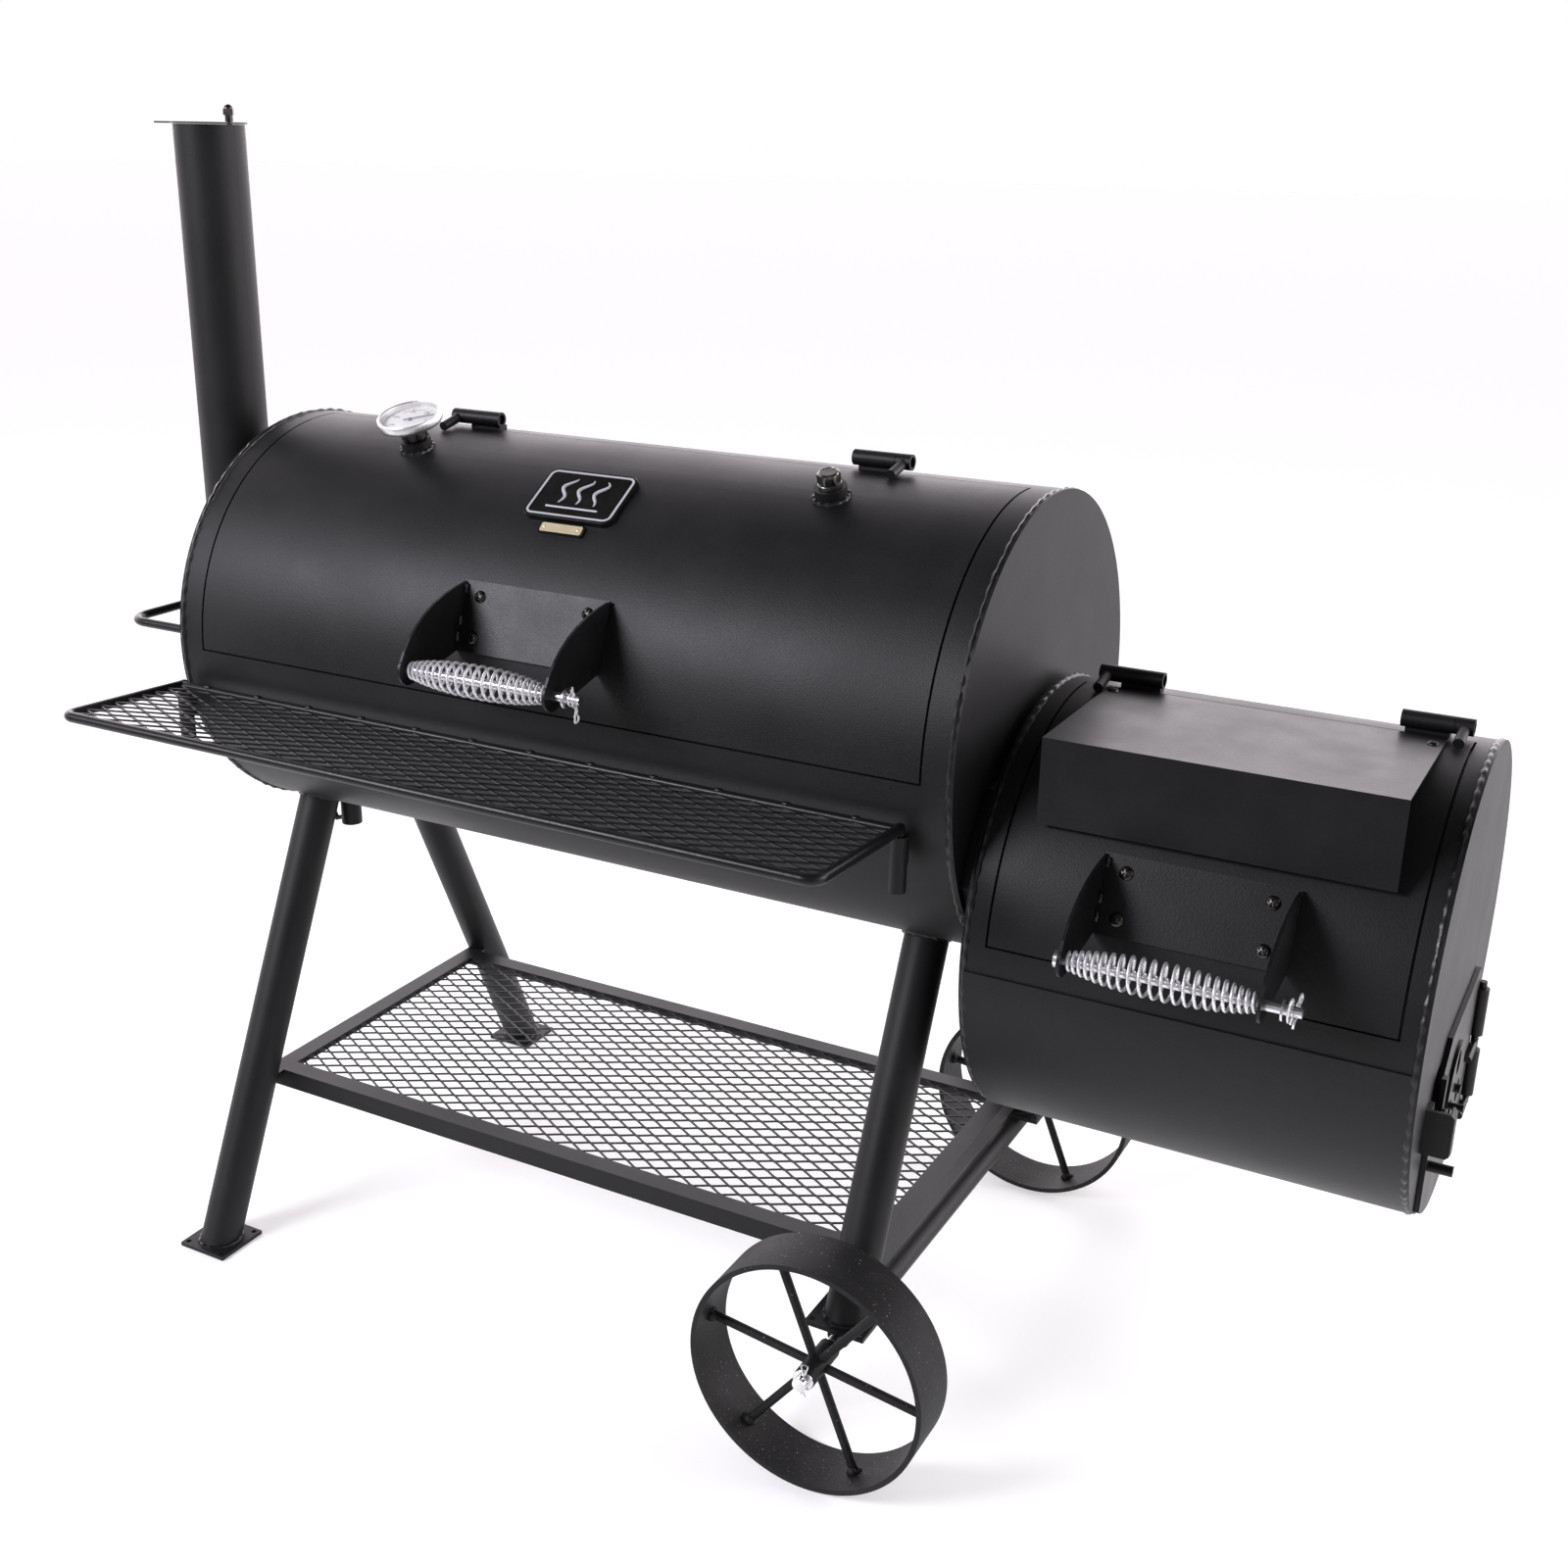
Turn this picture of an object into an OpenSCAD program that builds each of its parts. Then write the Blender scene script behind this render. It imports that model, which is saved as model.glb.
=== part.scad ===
// Offset smoker: a lidded horizontal cooking barrel with a lower firebox on its right end,
// a chimney on its left end, a shelf in front, a shelf between the legs and two steel wheels.
// X runs along the barrel, the cook stands on the -Y side, Z is up, the ground is z = 0.

/* [Cooking barrel] */
// Outside diameter of the barrel
barrel_d = 508; // [480:2:540]
// Length over both end caps
barrel_l = 1022; // [960:2:1080]
// Wall of barrel and lid
barrel_wall = 4; // [3:0.5:5]
// Height of the barrel axis above the ground
barrel_z = 783; // [770:1:800]
// Solid shell left at each end of the lid
lid_margin = 37; // [30:1:50]
// Gap all round each lid
lid_gap = 2.5; // [2:0.5:3.5]
// Height of the cooking grates below the barrel axis
grate_drop = 30; // [20:1:45]

/* [Firebox] */
// Outside diameter of the firebox
firebox_d = 486; // [470:2:500]
// Length over its end caps
firebox_l = 452; // [440:2:470]
// Wall of the firebox
firebox_wall = 5; // [4:0.5:6]
// Height of the firebox axis above the ground
firebox_z = 590; // [585:1:600]
// Thickness of the collar between barrel and firebox
collar_t = 12; // [10:1:14]
// Height of the charcoal grate below the firebox axis
coal_drop = 95; // [85:1:110]

/* [Chimney] */
// Outside diameter of the chimney pipe
stack_d = 88; // [80:1:95]
// Chimney axis to the barrel's left cap
stack_out = 135; // [130:1:145]
// Height of the chimney's top edge
stack_top = 1384; // [1300:1:1450]
// Height of the mitred elbow above the barrel axis
elbow_up = 112; // [105:1:120]

/* [Legs and wheels] */
// Outside diameter of the leg pipes
leg_d = 51; // [46:1:56]
// Distance between the left and right legs
leg_span = 880; // [870:1:900]
// Right legs to the barrel's right end
leg_inset = 88; // [80:1:95]
// Splay of each leg at ground level, from the barrel axis
leg_foot_y = 337; // [325:1:345]
// Outside diameter of a wheel
wheel_d = 276; // [270:1:282]
// Width of a wheel's steel band
wheel_w = 68; // [60:1:72]
// Thickness of the wheel band
wheel_band = 6; // [5:0.5:8]
// Middle of each wheel from the barrel axis
wheel_y = 341; // [338:1:346]
// Diameter of the axle
axle_d = 16; // [14:1:18]

/* [Shelves] */
// Height of the lower shelf's top face
low_shelf_z = 200; // [195:1:220]
// Front to back size of the lower shelf
low_shelf_depth = 430; // [424:1:440]
// Reach of the front shelf from its back rail to its front rail
front_shelf_depth = 182; // [160:1:200]
// Rise of the front shelf over that reach
front_shelf_rise = 9; // [5:1:18]
// Diameter of shelf and handle rods
rod_d = 12; // [10:1:13]

/* [Lid hardware] */
// Width of a lid handle over its side plates
handle_w = 190; // [180:1:200]
// Height of a handle's back plate
handle_h = 80; // [76:1:84]
// Diameter of the thermometer dial
dial_d = 78; // [70:1:86]
// Clearance between a pin and its bore, on the radius
fit_gap = 0.05; // [0.03:0.01:0.08]

/* [Hidden] */
$fn = 96;
cap_t = 5;
barrel_r = barrel_d / 2;
firebox_r = firebox_d / 2;
barrel_x0 = -barrel_l;
firebox_x0 = collar_t;
firebox_x1 = firebox_x0 + firebox_l;
stack_x = barrel_x0 - stack_out;
stack_r = stack_d / 2;
stack_wall = 3;
damper_reach = 80;
damper_tab = 28;
damper_t = 2;

// the lower half of the firebox stands proud of the upper half
seam_step = 2;

// lids: angles are measured from the front (0) over the top (90) to the back (180)
lid_x0 = barrel_x0 + lid_margin;
lid_x1 = -lid_margin;
lid_a0 = 0;
lid_a1 = 91;
hinge_a = 92;
box_lid_x0 = firebox_x0 + 28;
box_lid_x1 = firebox_x1 - 25;
box_lid_a0 = 7.5;
box_lid_a1 = 93.5;
box_hinge_a = 94.7;
hinge_rise = 13;
tube_r = 8.8;
pin_r = 6;
pin_recess = 4;
arm_r = 5.5;
arm_len = 36;
hinge_len = 70;
knuckle_len = 18;
knuckle_gap = 0.5;
hinge_x = [-759, -209];
box_hinge_x = [firebox_x0 + 76, firebox_x1 - 62];

// handles
plate_t = 3;
handle_tilt = 21;
box_handle_tilt = 25.5;
handle_out = 75;
handle_drop = 71;
tip_r = 17;
screw_dx = 71;
screw_dz = 23;
grip_r = 5;
main_handle_x = -barrel_l / 2;
box_handle_x = (firebox_x0 + firebox_x1) / 2;

// legs
leg_wall = 3;
right_x = -leg_inset;
left_x = right_x - leg_span;
leg_top_a = 69;
leg_top_y = barrel_r * cos(leg_top_a);
leg_top_z = barrel_z - barrel_r * sin(leg_top_a);
leg_tilt = atan((leg_foot_y - leg_top_y) / leg_top_z);
foot_size = 72;
foot_t = 5;
wheel_z = wheel_d / 2;
carrier_r = 13.5;
right_leg_z = wheel_z + carrier_r + foot_t;
hub_r = 12.5;
hub_w = 60;
spoke_r = 5;
spokes = 6;
spoke_a = 52;

// shelves
angle_leg = 25;
angle_t = 3;
rail_reach = 246;
front_shelf_x0 = barrel_x0 + 2;
front_shelf_x1 = -45;
front_shelf_z = barrel_z - 46;
sleeve_y = barrel_r + 10;
sleeve_r = 9;
sleeve_h = 60;
shelf_corner = 14;
shelf_back = 4;
shelf_tilt = atan(front_shelf_rise / front_shelf_depth);
rod_r = rod_d / 2;

// door on the firebox's right end; heights are measured from the firebox axis
door_y = 131;
door_top = -42;
door_x = firebox_x1 + 0.5;
door_t = 5;
door_axis_y = 141;
door_axis_x = firebox_x1 + 9;
door_tube_r = 7.5;
door_pin_r = 4;
vent_z = -125;
vent_ring = 30;
vent_r = 13;
damper_r = 50;
damper_pin_r = 5;
latch_y = -116;
latch_z = -96;

// the chimney's damper bolt, drain, thermometer, plug and badge
bolt_x = stack_x + 35;
bolt_r = 3;
drain_x = barrel_x0 + 77;
drain_y = -58;
drain_r = 10;
drain_out = 13.5;
drain_drop = 26;
hook_r = 3;
dial_x = -781;
plug_x = -225;
dial_a = 71;
plug_a = 70.5;
dial_up = 38;
stem_r = 9;
boss_r = 18;
boss_h = 12;
pointer_a = 35;
badge_a = 58;
badge_w = 118;
badge_h = 78;
tag_a = 45.5;

// heat shield: a sheet bent once, open at both ends
shield_w = 347;
shield_x = box_handle_x + 4;
shield_t = 2;
shield_y0 = -201;
shield_y1 = 4;
shield_low = 156;

// sundry sizes
axle_half = wheel_y + hub_w / 2 + 12;
clip_y = wheel_y + hub_w / 2 + 6;
foot_hole = 29;
mesh_t = 3;
mesh_lap = 6;
push_out = 120;
push_y = 225;
push_r = 5.5;
push_bend = 30;
grate_r = 4;
box_ledge_r = firebox_r + seam_step - firebox_wall;
door_arm_z = [-137, -206];
door_arm_lap = 36;
door_pin_z0 = -210;
door_pin_len = 148;
door_tube_z = [-126, -200];
door_tube_len = 56;
keeper_out = 27;
keeper_h = 48;
keeper_w = 20;
keeper_t = 5;
keeper_y = -158;
keeper_z = -123;
pull_out = 24;
pull_y = -118;
pull_z = -156;
latch_park = 100;
latch_reach = 36;
latch_tail = 14;
latch_h = 16;

// the model stands centred on its own bounding box
lowest_x = stack_x - damper_reach;
highest_x = door_x + door_t + pull_out;
home_x = -(lowest_x + highest_x) / 2;
front_y = -(sleeve_y + front_shelf_depth * cos(shelf_tilt) + rod_r);
back_y = axle_half;
home_y = -(front_y + back_y) / 2;

paint = [0.13, 0.13, 0.14];
dark_paint = [0.09, 0.09, 0.10];
chrome = [0.78, 0.78, 0.80];
steel = [0.55, 0.55, 0.57];

module at_home() {
    translate([home_x, home_y, 0]) children();
}

// places a profile drawn in (y, z) about a barrel axis, and extrudes it along X
module along_x(x0, x1, z) {
    translate([x0, 0, z]) rotate([90, 0, 90]) linear_extrude(x1 - x0) children();
}

// children's +Z axis points straight out of the barrel at angle a, +Y up and over it, X along it
module on_curve(x, z, a, r) {
    translate([x, 0, z]) rotate([90 - a, 0, 0]) translate([0, 0, r]) children();
}

// flat sector between two angles, wide enough to cut a ring of radius r
module sector(r, a0, a1) {
    steps = ceil((a1 - a0) / 30);
    rim = [for (i = [0:steps]) let (a = a0 + (a1 - a0) * i / steps) [-cos(a), sin(a)] * 2 * r];
    polygon(concat([[0, 0]], rim));
}

module ring(r_out, r_in) {
    difference() {
        circle(r_out, $fn = 180);
        circle(r_in, $fn = 180);
    }
}

module arc_band(r_out, r_in, a0, a1) {
    intersection() {
        ring(r_out, r_in);
        sector(r_out, a0, a1);
    }
}

module tube(r_out, r_in, h) {
    difference() {
        cylinder(r = r_out, h = h);
        translate([0, 0, -1]) cylinder(r = r_in, h = h + 2);
    }
}

// a straight rod between two points
module rod(p, q, r) {
    d = q - p;
    len = norm(d);
    translate(p)
        rotate([0, acos(d[2] / len), atan2(d[1], d[0])])
            cylinder(r = r, h = len, $fn = 32);
}

module knee(p, r) {
    translate(p) sphere(r = r + 0.3, $fn = 32);
}

// --- cooking barrel -----------------------------------------------------------------
module barrel_shell() {
    color(paint) at_home()
    difference() {
        along_x(barrel_x0 + cap_t, -cap_t, barrel_z) ring(barrel_r, barrel_r - barrel_wall);
        along_x(lid_x0 - lid_gap, lid_x1 + lid_gap, barrel_z)
            arc_band(barrel_r + 5, barrel_r - 10, lid_a0 - 0.3, lid_a1 + 0.3);
        translate([drain_x, drain_y, barrel_z - barrel_r - 10]) cylinder(r = drain_r, h = 60);
    }
}

module barrel_left_cap() {
    color(paint) at_home()
    difference() {
        along_x(barrel_x0, barrel_x0 + cap_t, barrel_z) circle(barrel_r + 1, $fn = 180);
        translate([barrel_x0 - 1, 0, barrel_z + elbow_up])
            rotate([0, 90, 0]) cylinder(r = stack_r - stack_wall, h = cap_t + 2);
    }
}

// shape of the passage between barrel and firebox, in (y, z) from the ground
module throat(grow) {
    intersection() {
        translate([0, barrel_z]) circle(barrel_r - 22 + grow, $fn = 180);
        translate([0, firebox_z]) circle(firebox_r - 26 + grow, $fn = 180);
        translate([-300, barrel_z - 260 - grow]) square([600, 220 + 2 * grow]);
    }
}

module barrel_right_cap() {
    color(paint) at_home()
    difference() {
        along_x(-cap_t, 0, barrel_z) circle(barrel_r + 1, $fn = 180);
        along_x(-cap_t - 1, 1, 0) throat(0);
    }
}

// flat bars inside both openings that the closed lids rest against
module lid_rest(x0, x1, z, r, a0, a1) {
    along_x(x0 - 12, x0 + 12, z) arc_band(r - 0.6, r - 4.6, a0 - 3, a1 - 3);
    along_x(x1 - 12, x1 + 12, z) arc_band(r - 0.6, r - 4.6, a0 - 3, a1 - 3);
    along_x(x0 + 12, x1 - 12, z) arc_band(r - 0.6, r - 4.6, a0 - 3, a0 + 2.5);
}

module lid_rest_strips() {
    color(dark_paint) at_home() {
        lid_rest(lid_x0, lid_x1, barrel_z, barrel_r - barrel_wall, lid_a0, lid_a1);
        lid_rest(box_lid_x0, box_lid_x1, firebox_z, firebox_r - firebox_wall, box_lid_a0, box_lid_a1);
    }
}

module throat_collar() {
    color(dark_paint) at_home()
    along_x(0, collar_t, 0)
    difference() {
        throat(14);
        throat(0);
    }
}

// --- firebox ------------------------------------------------------------------------
module firebox_upper_shell() {
    color(paint) at_home()
    difference() {
        along_x(firebox_x0 + cap_t, firebox_x1 - cap_t, firebox_z)
            arc_band(firebox_r, firebox_r - firebox_wall, 0, 180);
        along_x(box_lid_x0 - lid_gap, box_lid_x1 + lid_gap, firebox_z)
            arc_band(firebox_r + 5, firebox_r - 12, box_lid_a0 - 0.5, box_lid_a1 + 0.3);
    }
}

module firebox_lower_shell() {
    color(paint) at_home()
    along_x(firebox_x0 + cap_t, firebox_x1 - cap_t, firebox_z)
        arc_band(firebox_r + seam_step, firebox_r + seam_step - firebox_wall, 180, 360);
}

module firebox_left_cap() {
    color(paint) at_home()
    difference() {
        along_x(firebox_x0, firebox_x0 + cap_t, firebox_z) circle(firebox_r, $fn = 180);
        along_x(firebox_x0 - 1, firebox_x0 + cap_t + 1, 0) throat(0);
    }
}

module firebox_right_cap() {
    color(paint) at_home()
    difference() {
        along_x(firebox_x1 - cap_t, firebox_x1, firebox_z) circle(firebox_r + 1, $fn = 180);
        along_x(firebox_x1 - cap_t - 1, firebox_x1 + 1, firebox_z)
            intersection() {
                circle(firebox_r - 20, $fn = 180);
                translate([-door_y + 18, -firebox_r])
                    square([2 * door_y - 36, firebox_r + door_top - 16]);
            }
    }
}

// --- chimney ------------------------------------------------------------------------
// a pipe cut off at 45 degrees through its own foot, longer on its -X side
module mitred_pipe(r_out, r_in, length) {
    difference() {
        translate([0, 0, -r_out]) tube(r_out, r_in, length + r_out);
        rotate([0, -45, 0]) translate([-2 * r_out, -2 * r_out, -4 * r_out])
            cube([4 * r_out, 4 * r_out, 4 * r_out]);
    }
}

module stack_pipe() {
    elbow_z = barrel_z + elbow_up;
    color(paint) at_home()
    translate([stack_x, 0, elbow_z]) {
        mitred_pipe(stack_r, stack_r - stack_wall, stack_top - elbow_z);
        mirror([1, 0, -1]) mitred_pipe(stack_r, stack_r - stack_wall, stack_out);
    }
}

module stack_damper_bolt() {
    color(steel) at_home()
    translate([bolt_x, 0, stack_top]) {
        translate([0, 0, -20]) cylinder(r = 6, h = 20);
        cylinder(r = bolt_r, h = 12);
        translate([0, 0, damper_t + 1]) cylinder(r = 5, h = 8);
        translate([0, 0, damper_t + 9]) cylinder(r = 7, h = 7, $fn = 6);
        translate([0, 0, damper_t + 16]) sphere(r = 5.8, $fn = 32);
    }
}

module stack_damper() {
    color(dark_paint) at_home()
    translate([stack_x, 0, stack_top + 0.5])
    difference() {
        union() {
            cylinder(r = stack_r + 3, h = damper_t);
            translate([-damper_reach, -damper_tab / 2, 0]) cube([damper_reach, damper_tab, damper_t]);
        }
        translate([bolt_x - stack_x, 0, -1]) cylinder(r = bolt_r + fit_gap, h = damper_t + 2);
    }
}

// --- lid hinges ---------------------------------------------------------------------
// one hinge is drawn along +X from its outer end; side turns it over for the left hinges
module hinge_at(x, z, a, r, side) {
    on_curve(x, z, a, r) mirror([side > 0 ? 1 : 0, 0, 0])
        translate([-hinge_len / 2, 0, 0]) rotate([0, 90, 0]) children();
}

module hinge_fixed(x, z, a, r_shell, side) {
    start = knuckle_len + knuckle_gap;
    difference() {
        union() {
            hinge_at(x, z, a, r_shell + hinge_rise, side)
                translate([0, 0, start]) cylinder(r = tube_r, h = hinge_len - start);
            saddle(x, z, a, r_shell, side, start + 4, hinge_len - 4);
        }
        hinge_at(x, z, a, r_shell + hinge_rise, side)
            translate([0, 0, -1]) cylinder(r = pin_r + fit_gap, h = hinge_len + 2);
    }
}

// strip between shell and tube, behind the lid's back edge
module saddle(x, z, a, r_shell, side, u0, u1) {
    end_a = x + side * (hinge_len / 2 - u0);
    end_b = x + side * (hinge_len / 2 - u1);
    along_x(min(end_a, end_b), max(end_a, end_b), z) arc_band(r_shell + 6, r_shell, a + 0.4, a + 3.5);
}

module lid_hinge_tubes() {
    color(dark_paint) at_home() {
        for (i = [0, 1]) {
            hinge_fixed(hinge_x[i], barrel_z, hinge_a, barrel_r, 2 * i - 1);
            hinge_fixed(box_hinge_x[i], firebox_z, box_hinge_a, firebox_r, 2 * i - 1);
        }
    }
}

module hinge_pin() {
    translate([0, 0, pin_recess]) cylinder(r = pin_r, h = hinge_len - 2 * pin_recess);
}

module lid_hinge_pins() {
    color(steel) at_home()
    for (i = [0, 1]) {
        hinge_at(hinge_x[i], barrel_z, hinge_a, barrel_r + hinge_rise, 2 * i - 1) hinge_pin();
        hinge_at(box_hinge_x[i], firebox_z, box_hinge_a, firebox_r + hinge_rise, 2 * i - 1) hinge_pin();
    }
}

// short knuckle and the rod arm that is welded along the lid
module hinge_moving(x, z, a, r_shell, side) {
    mid_x = x + side * (hinge_len - knuckle_len) / 2;
    arm_a = a - arm_len / r_shell * 180 / PI;
    r_axis = r_shell + hinge_rise;
    r_end = r_shell + arm_r;
    difference() {
        union() {
            hinge_at(x, z, a, r_axis, side)
                cylinder(r = tube_r, h = knuckle_len);
            rod([mid_x, -cos(a) * r_axis, z + sin(a) * r_axis],
                [mid_x, -cos(arm_a) * r_end, z + sin(arm_a) * r_end], arm_r);
        }
        hinge_at(x, z, a, r_axis, side)
            translate([0, 0, -1]) cylinder(r = pin_r + fit_gap, h = hinge_len + 2);
    }
}

module main_lid_knuckles() {
    color(dark_paint) at_home()
    for (i = [0, 1]) hinge_moving(hinge_x[i], barrel_z, hinge_a, barrel_r, 2 * i - 1);
}

module firebox_lid_knuckles() {
    color(dark_paint) at_home()
    for (i = [0, 1]) hinge_moving(box_hinge_x[i], firebox_z, box_hinge_a, firebox_r, 2 * i - 1);
}

// --- lids ---------------------------------------------------------------------------
module main_lid() {
    color(paint) at_home()
    difference() {
        along_x(lid_x0, lid_x1, barrel_z)
            arc_band(barrel_r, barrel_r - barrel_wall, lid_a0 + 0.2, lid_a1);
        on_curve(dial_x, barrel_z, dial_a, barrel_r - 20) cylinder(r = stem_r + 1, h = 40);
        on_curve(plug_x, barrel_z, plug_a, barrel_r - 20) cylinder(r = stem_r + 1, h = 40);
    }
}

module firebox_lid() {
    color(paint) at_home()
    along_x(box_lid_x0, box_lid_x1, firebox_z)
        arc_band(firebox_r, firebox_r - firebox_wall, box_lid_a0, box_lid_a1);
}

// --- lid handles --------------------------------------------------------------------
function bend(p, q, r, s) = (1 - s) * (1 - s) * p + 2 * s * (1 - s) * q + s * s * r;

// side plate outline, out from the lid along +Y and up the lid along +X
module handle_side() {
    top = [handle_h / 2, 0];
    brow = [0, handle_out + 8];
    tip = [-handle_drop, handle_out + tip_r];
    front = [for (i = [0:8]) bend(top, brow, tip, i / 8)];
    low = [-handle_drop - tip_r * cos(30), handle_out - tip_r * sin(30)];
    polygon(concat(front, [[-handle_drop, handle_out], low, [-handle_h / 2, 0]]));
    translate([-handle_drop, handle_out]) circle(tip_r);
}

// bracket in its own frame: +Z out of the lid, +Y up the lid
module handle_bracket() {
    difference() {
        union() {
            translate([-handle_w / 2, -handle_h / 2, 0]) cube([handle_w, handle_h, plate_t]);
            for (x = [-handle_w / 2, handle_w / 2 - plate_t])
                translate([x, 0, 0]) rotate([90, 0, 90]) linear_extrude(plate_t)
                    handle_side();
        }
        translate([-handle_w, -handle_drop, handle_out]) rotate([0, 90, 0])
            cylinder(r = grip_r + 0.1, h = 2 * handle_w);
        for (x = [-screw_dx, screw_dx], y = [-screw_dz, screw_dz])
            translate([x, y, -1]) cylinder(r = 3.2, h = plate_t + 2);
    }
}

// grip rod with an upset head on the left, a washer and a hairpin clip on the right
module handle_rod() {
    translate([-handle_w / 2 - 6, -handle_drop, handle_out]) rotate([0, 90, 0]) {
        cylinder(r = grip_r, h = handle_w + 40);
        cylinder(r = grip_r + 4, h = 5);
        translate([0, 0, handle_w + 22]) difference() {
            cylinder(r = grip_r + 6, h = 2);
            translate([0, 0, -1]) cylinder(r = grip_r, h = 4);
        }
    }
}

// envelope of the coil that cools the grip: fatter in the middle than at its ends
module handle_spring() {
    coil_l = handle_w - 2 * plate_t - 1;
    swell = [for (i = [0:10]) [9 + 6 * sin(18 * i), coil_l * i / 10]];
    translate([-coil_l / 2, -handle_drop, handle_out]) rotate([0, 90, 0])
        rotate_extrude($fn = 48) polygon(concat([[grip_r + 0.5, 0]], swell, [[grip_r + 0.5, coil_l]]));
}

module handle_screws() {
    for (x = [-screw_dx, screw_dx], y = [-screw_dz, screw_dz])
        translate([x, y, 0]) {
            translate([0, 0, 0.2]) cylinder(r = 3, h = plate_t, $fn = 32);
            translate([0, 0, plate_t]) intersection() {
                translate([0, 0, -5]) sphere(r = 9, $fn = 48);
                cylinder(r = 7, h = 6, $fn = 48);
            }
        }
}

module on_main_lid() {
    at_home() on_curve(main_handle_x, barrel_z, handle_tilt, barrel_r) children();
}

module on_firebox_lid() {
    at_home() on_curve(box_handle_x, firebox_z, box_handle_tilt, firebox_r) children();
}

module main_handle_bracket() {
    color(dark_paint) on_main_lid() handle_bracket();
}

module main_handle_rod() {
    color(chrome) on_main_lid() handle_rod();
}

module main_handle_spring() {
    color(chrome) on_main_lid() handle_spring();
}

module main_handle_screws() {
    color(steel) on_main_lid() handle_screws();
}

module firebox_handle_bracket() {
    color(dark_paint) on_firebox_lid() handle_bracket();
}

module firebox_handle_rod() {
    color(chrome) on_firebox_lid() handle_rod();
}

module firebox_handle_spring() {
    color(chrome) on_firebox_lid() handle_spring();
}

module firebox_handle_screws() {
    color(steel) on_firebox_lid() handle_screws();
}

// --- thermometer, spare port and badge on the main lid --------------------------------
module on_dial() {
    at_home() on_curve(dial_x, barrel_z, dial_a, barrel_r) children();
}

module thermometer_case() {
    color(chrome) on_dial() {
        difference() {
            translate([0, 0, dial_up - 6]) cylinder(r = dial_d / 2, h = 12);
            translate([0, 0, dial_up - 3]) cylinder(r = dial_d / 2 - 4, h = 20);
        }
        translate([0, 0, boss_h]) cylinder(r = 16, h = dial_up - 6 - boss_h, $fn = 6);
        translate([0, 0, -50]) cylinder(r = stem_r, h = 50 + boss_h);
    }
}

module thermometer_dial() {
    color([0.93, 0.93, 0.9]) on_dial()
    translate([0, 0, dial_up - 3]) tube(dial_d / 2 - 4, 2.5, 1);
}

module thermometer_pointer() {
    color([0.1, 0.1, 0.1]) on_dial()
    translate([0, 0, dial_up - 0.5]) {
        translate([0, 0, -2.4]) cylinder(r = 2.2, h = 3.4, $fn = 32);
        rotate([0, 0, pointer_a]) translate([-8, -0.9, 0]) cube([dial_d / 2 - 2, 1.8, 0.8]);
    }
}

module port_boss() {
    color(dark_paint) at_home()
    for (p = [[dial_x, dial_a], [plug_x, plug_a]])
        on_curve(p[0], barrel_z, p[1], barrel_r)
            difference() {
                translate([0, 0, -1]) cylinder(r = boss_r, h = boss_h + 1);
                translate([0, 0, -3]) cylinder(r = stem_r + fit_gap, h = boss_h + 6);
                translate([0, 0, -barrel_r]) rotate([0, 90, 0])
                    cylinder(r = barrel_r, h = 200, center = true, $fn = 180);
            }
}

module port_plug() {
    color(steel) at_home()
    on_curve(plug_x, barrel_z, plug_a, barrel_r) {
        translate([0, 0, -4]) cylinder(r = stem_r, h = boss_h + 4);
        translate([0, 0, boss_h]) cylinder(r = 13, h = 5);
        translate([0, 0, boss_h + 5]) cylinder(r = 13, h = 13, $fn = 6);
    }
}

module rounded_plate(w, h, r, t) {
    linear_extrude(t) hull()
        for (x = [-w / 2 + r, w / 2 - r], y = [-h / 2 + r, h / 2 - r])
            translate([x, y]) circle(r, $fn = 32);
}

module lid_badge() {
    color(dark_paint) at_home() {
        on_curve(main_handle_x, barrel_z, badge_a, barrel_r) {
            rounded_plate(badge_w, badge_h, 12, 4);
            translate([0, 0, 4]) difference() {
                rounded_plate(badge_w, badge_h, 12, 1.2);
                translate([0, 0, -1]) rounded_plate(badge_w - 7, badge_h - 7, 9, 4);
            }
        }
        on_curve(main_handle_x, barrel_z, tag_a, barrel_r) rounded_plate(58, 15, 3, 3);
    }
}

// --- heat shield over the firebox lid -------------------------------------------------
module heat_shield() {
    top_z = firebox_r + 0.5;
    color(dark_paint) at_home()
    along_x(shield_x - shield_w / 2, shield_x + shield_w / 2, firebox_z)
        difference() {
            union() {
                translate([shield_y0, top_z]) square([shield_y1 - shield_y0, shield_t]);
                translate([shield_y0, shield_low]) square([shield_t, top_z + shield_t - shield_low]);
            }
            circle(firebox_r + 0.1, $fn = 180);
        }
}

// --- legs, axle and wheels --------------------------------------------------------------
// one leg pipe, coped to the barrel above and cut off level at foot_z below
module leg(x, side, foot_z) {
    color(paint) at_home()
    difference() {
        translate([x, side * leg_foot_y, 0]) rotate([side * leg_tilt, 0, 0])
            translate([0, 0, -40]) tube(leg_d / 2, leg_d / 2 - leg_wall, leg_top_z + 160);
        along_x(x - 100, x + 100, barrel_z) circle(barrel_r, $fn = 180);
        translate([x - 100, side * leg_foot_y - 100, foot_z - 400]) cube([200, 200, 400]);
    }
}

module front_left_leg() {
    leg(left_x, -1, foot_t);
}

module back_left_leg() {
    leg(left_x, 1, foot_t);
}

module front_right_leg() {
    leg(right_x, -1, right_leg_z);
}

module back_right_leg() {
    leg(right_x, 1, right_leg_z);
}

// distance of a leg's middle from the barrel axis at height z
function leg_y(z) = leg_foot_y - z * tan(leg_tilt);

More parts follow.
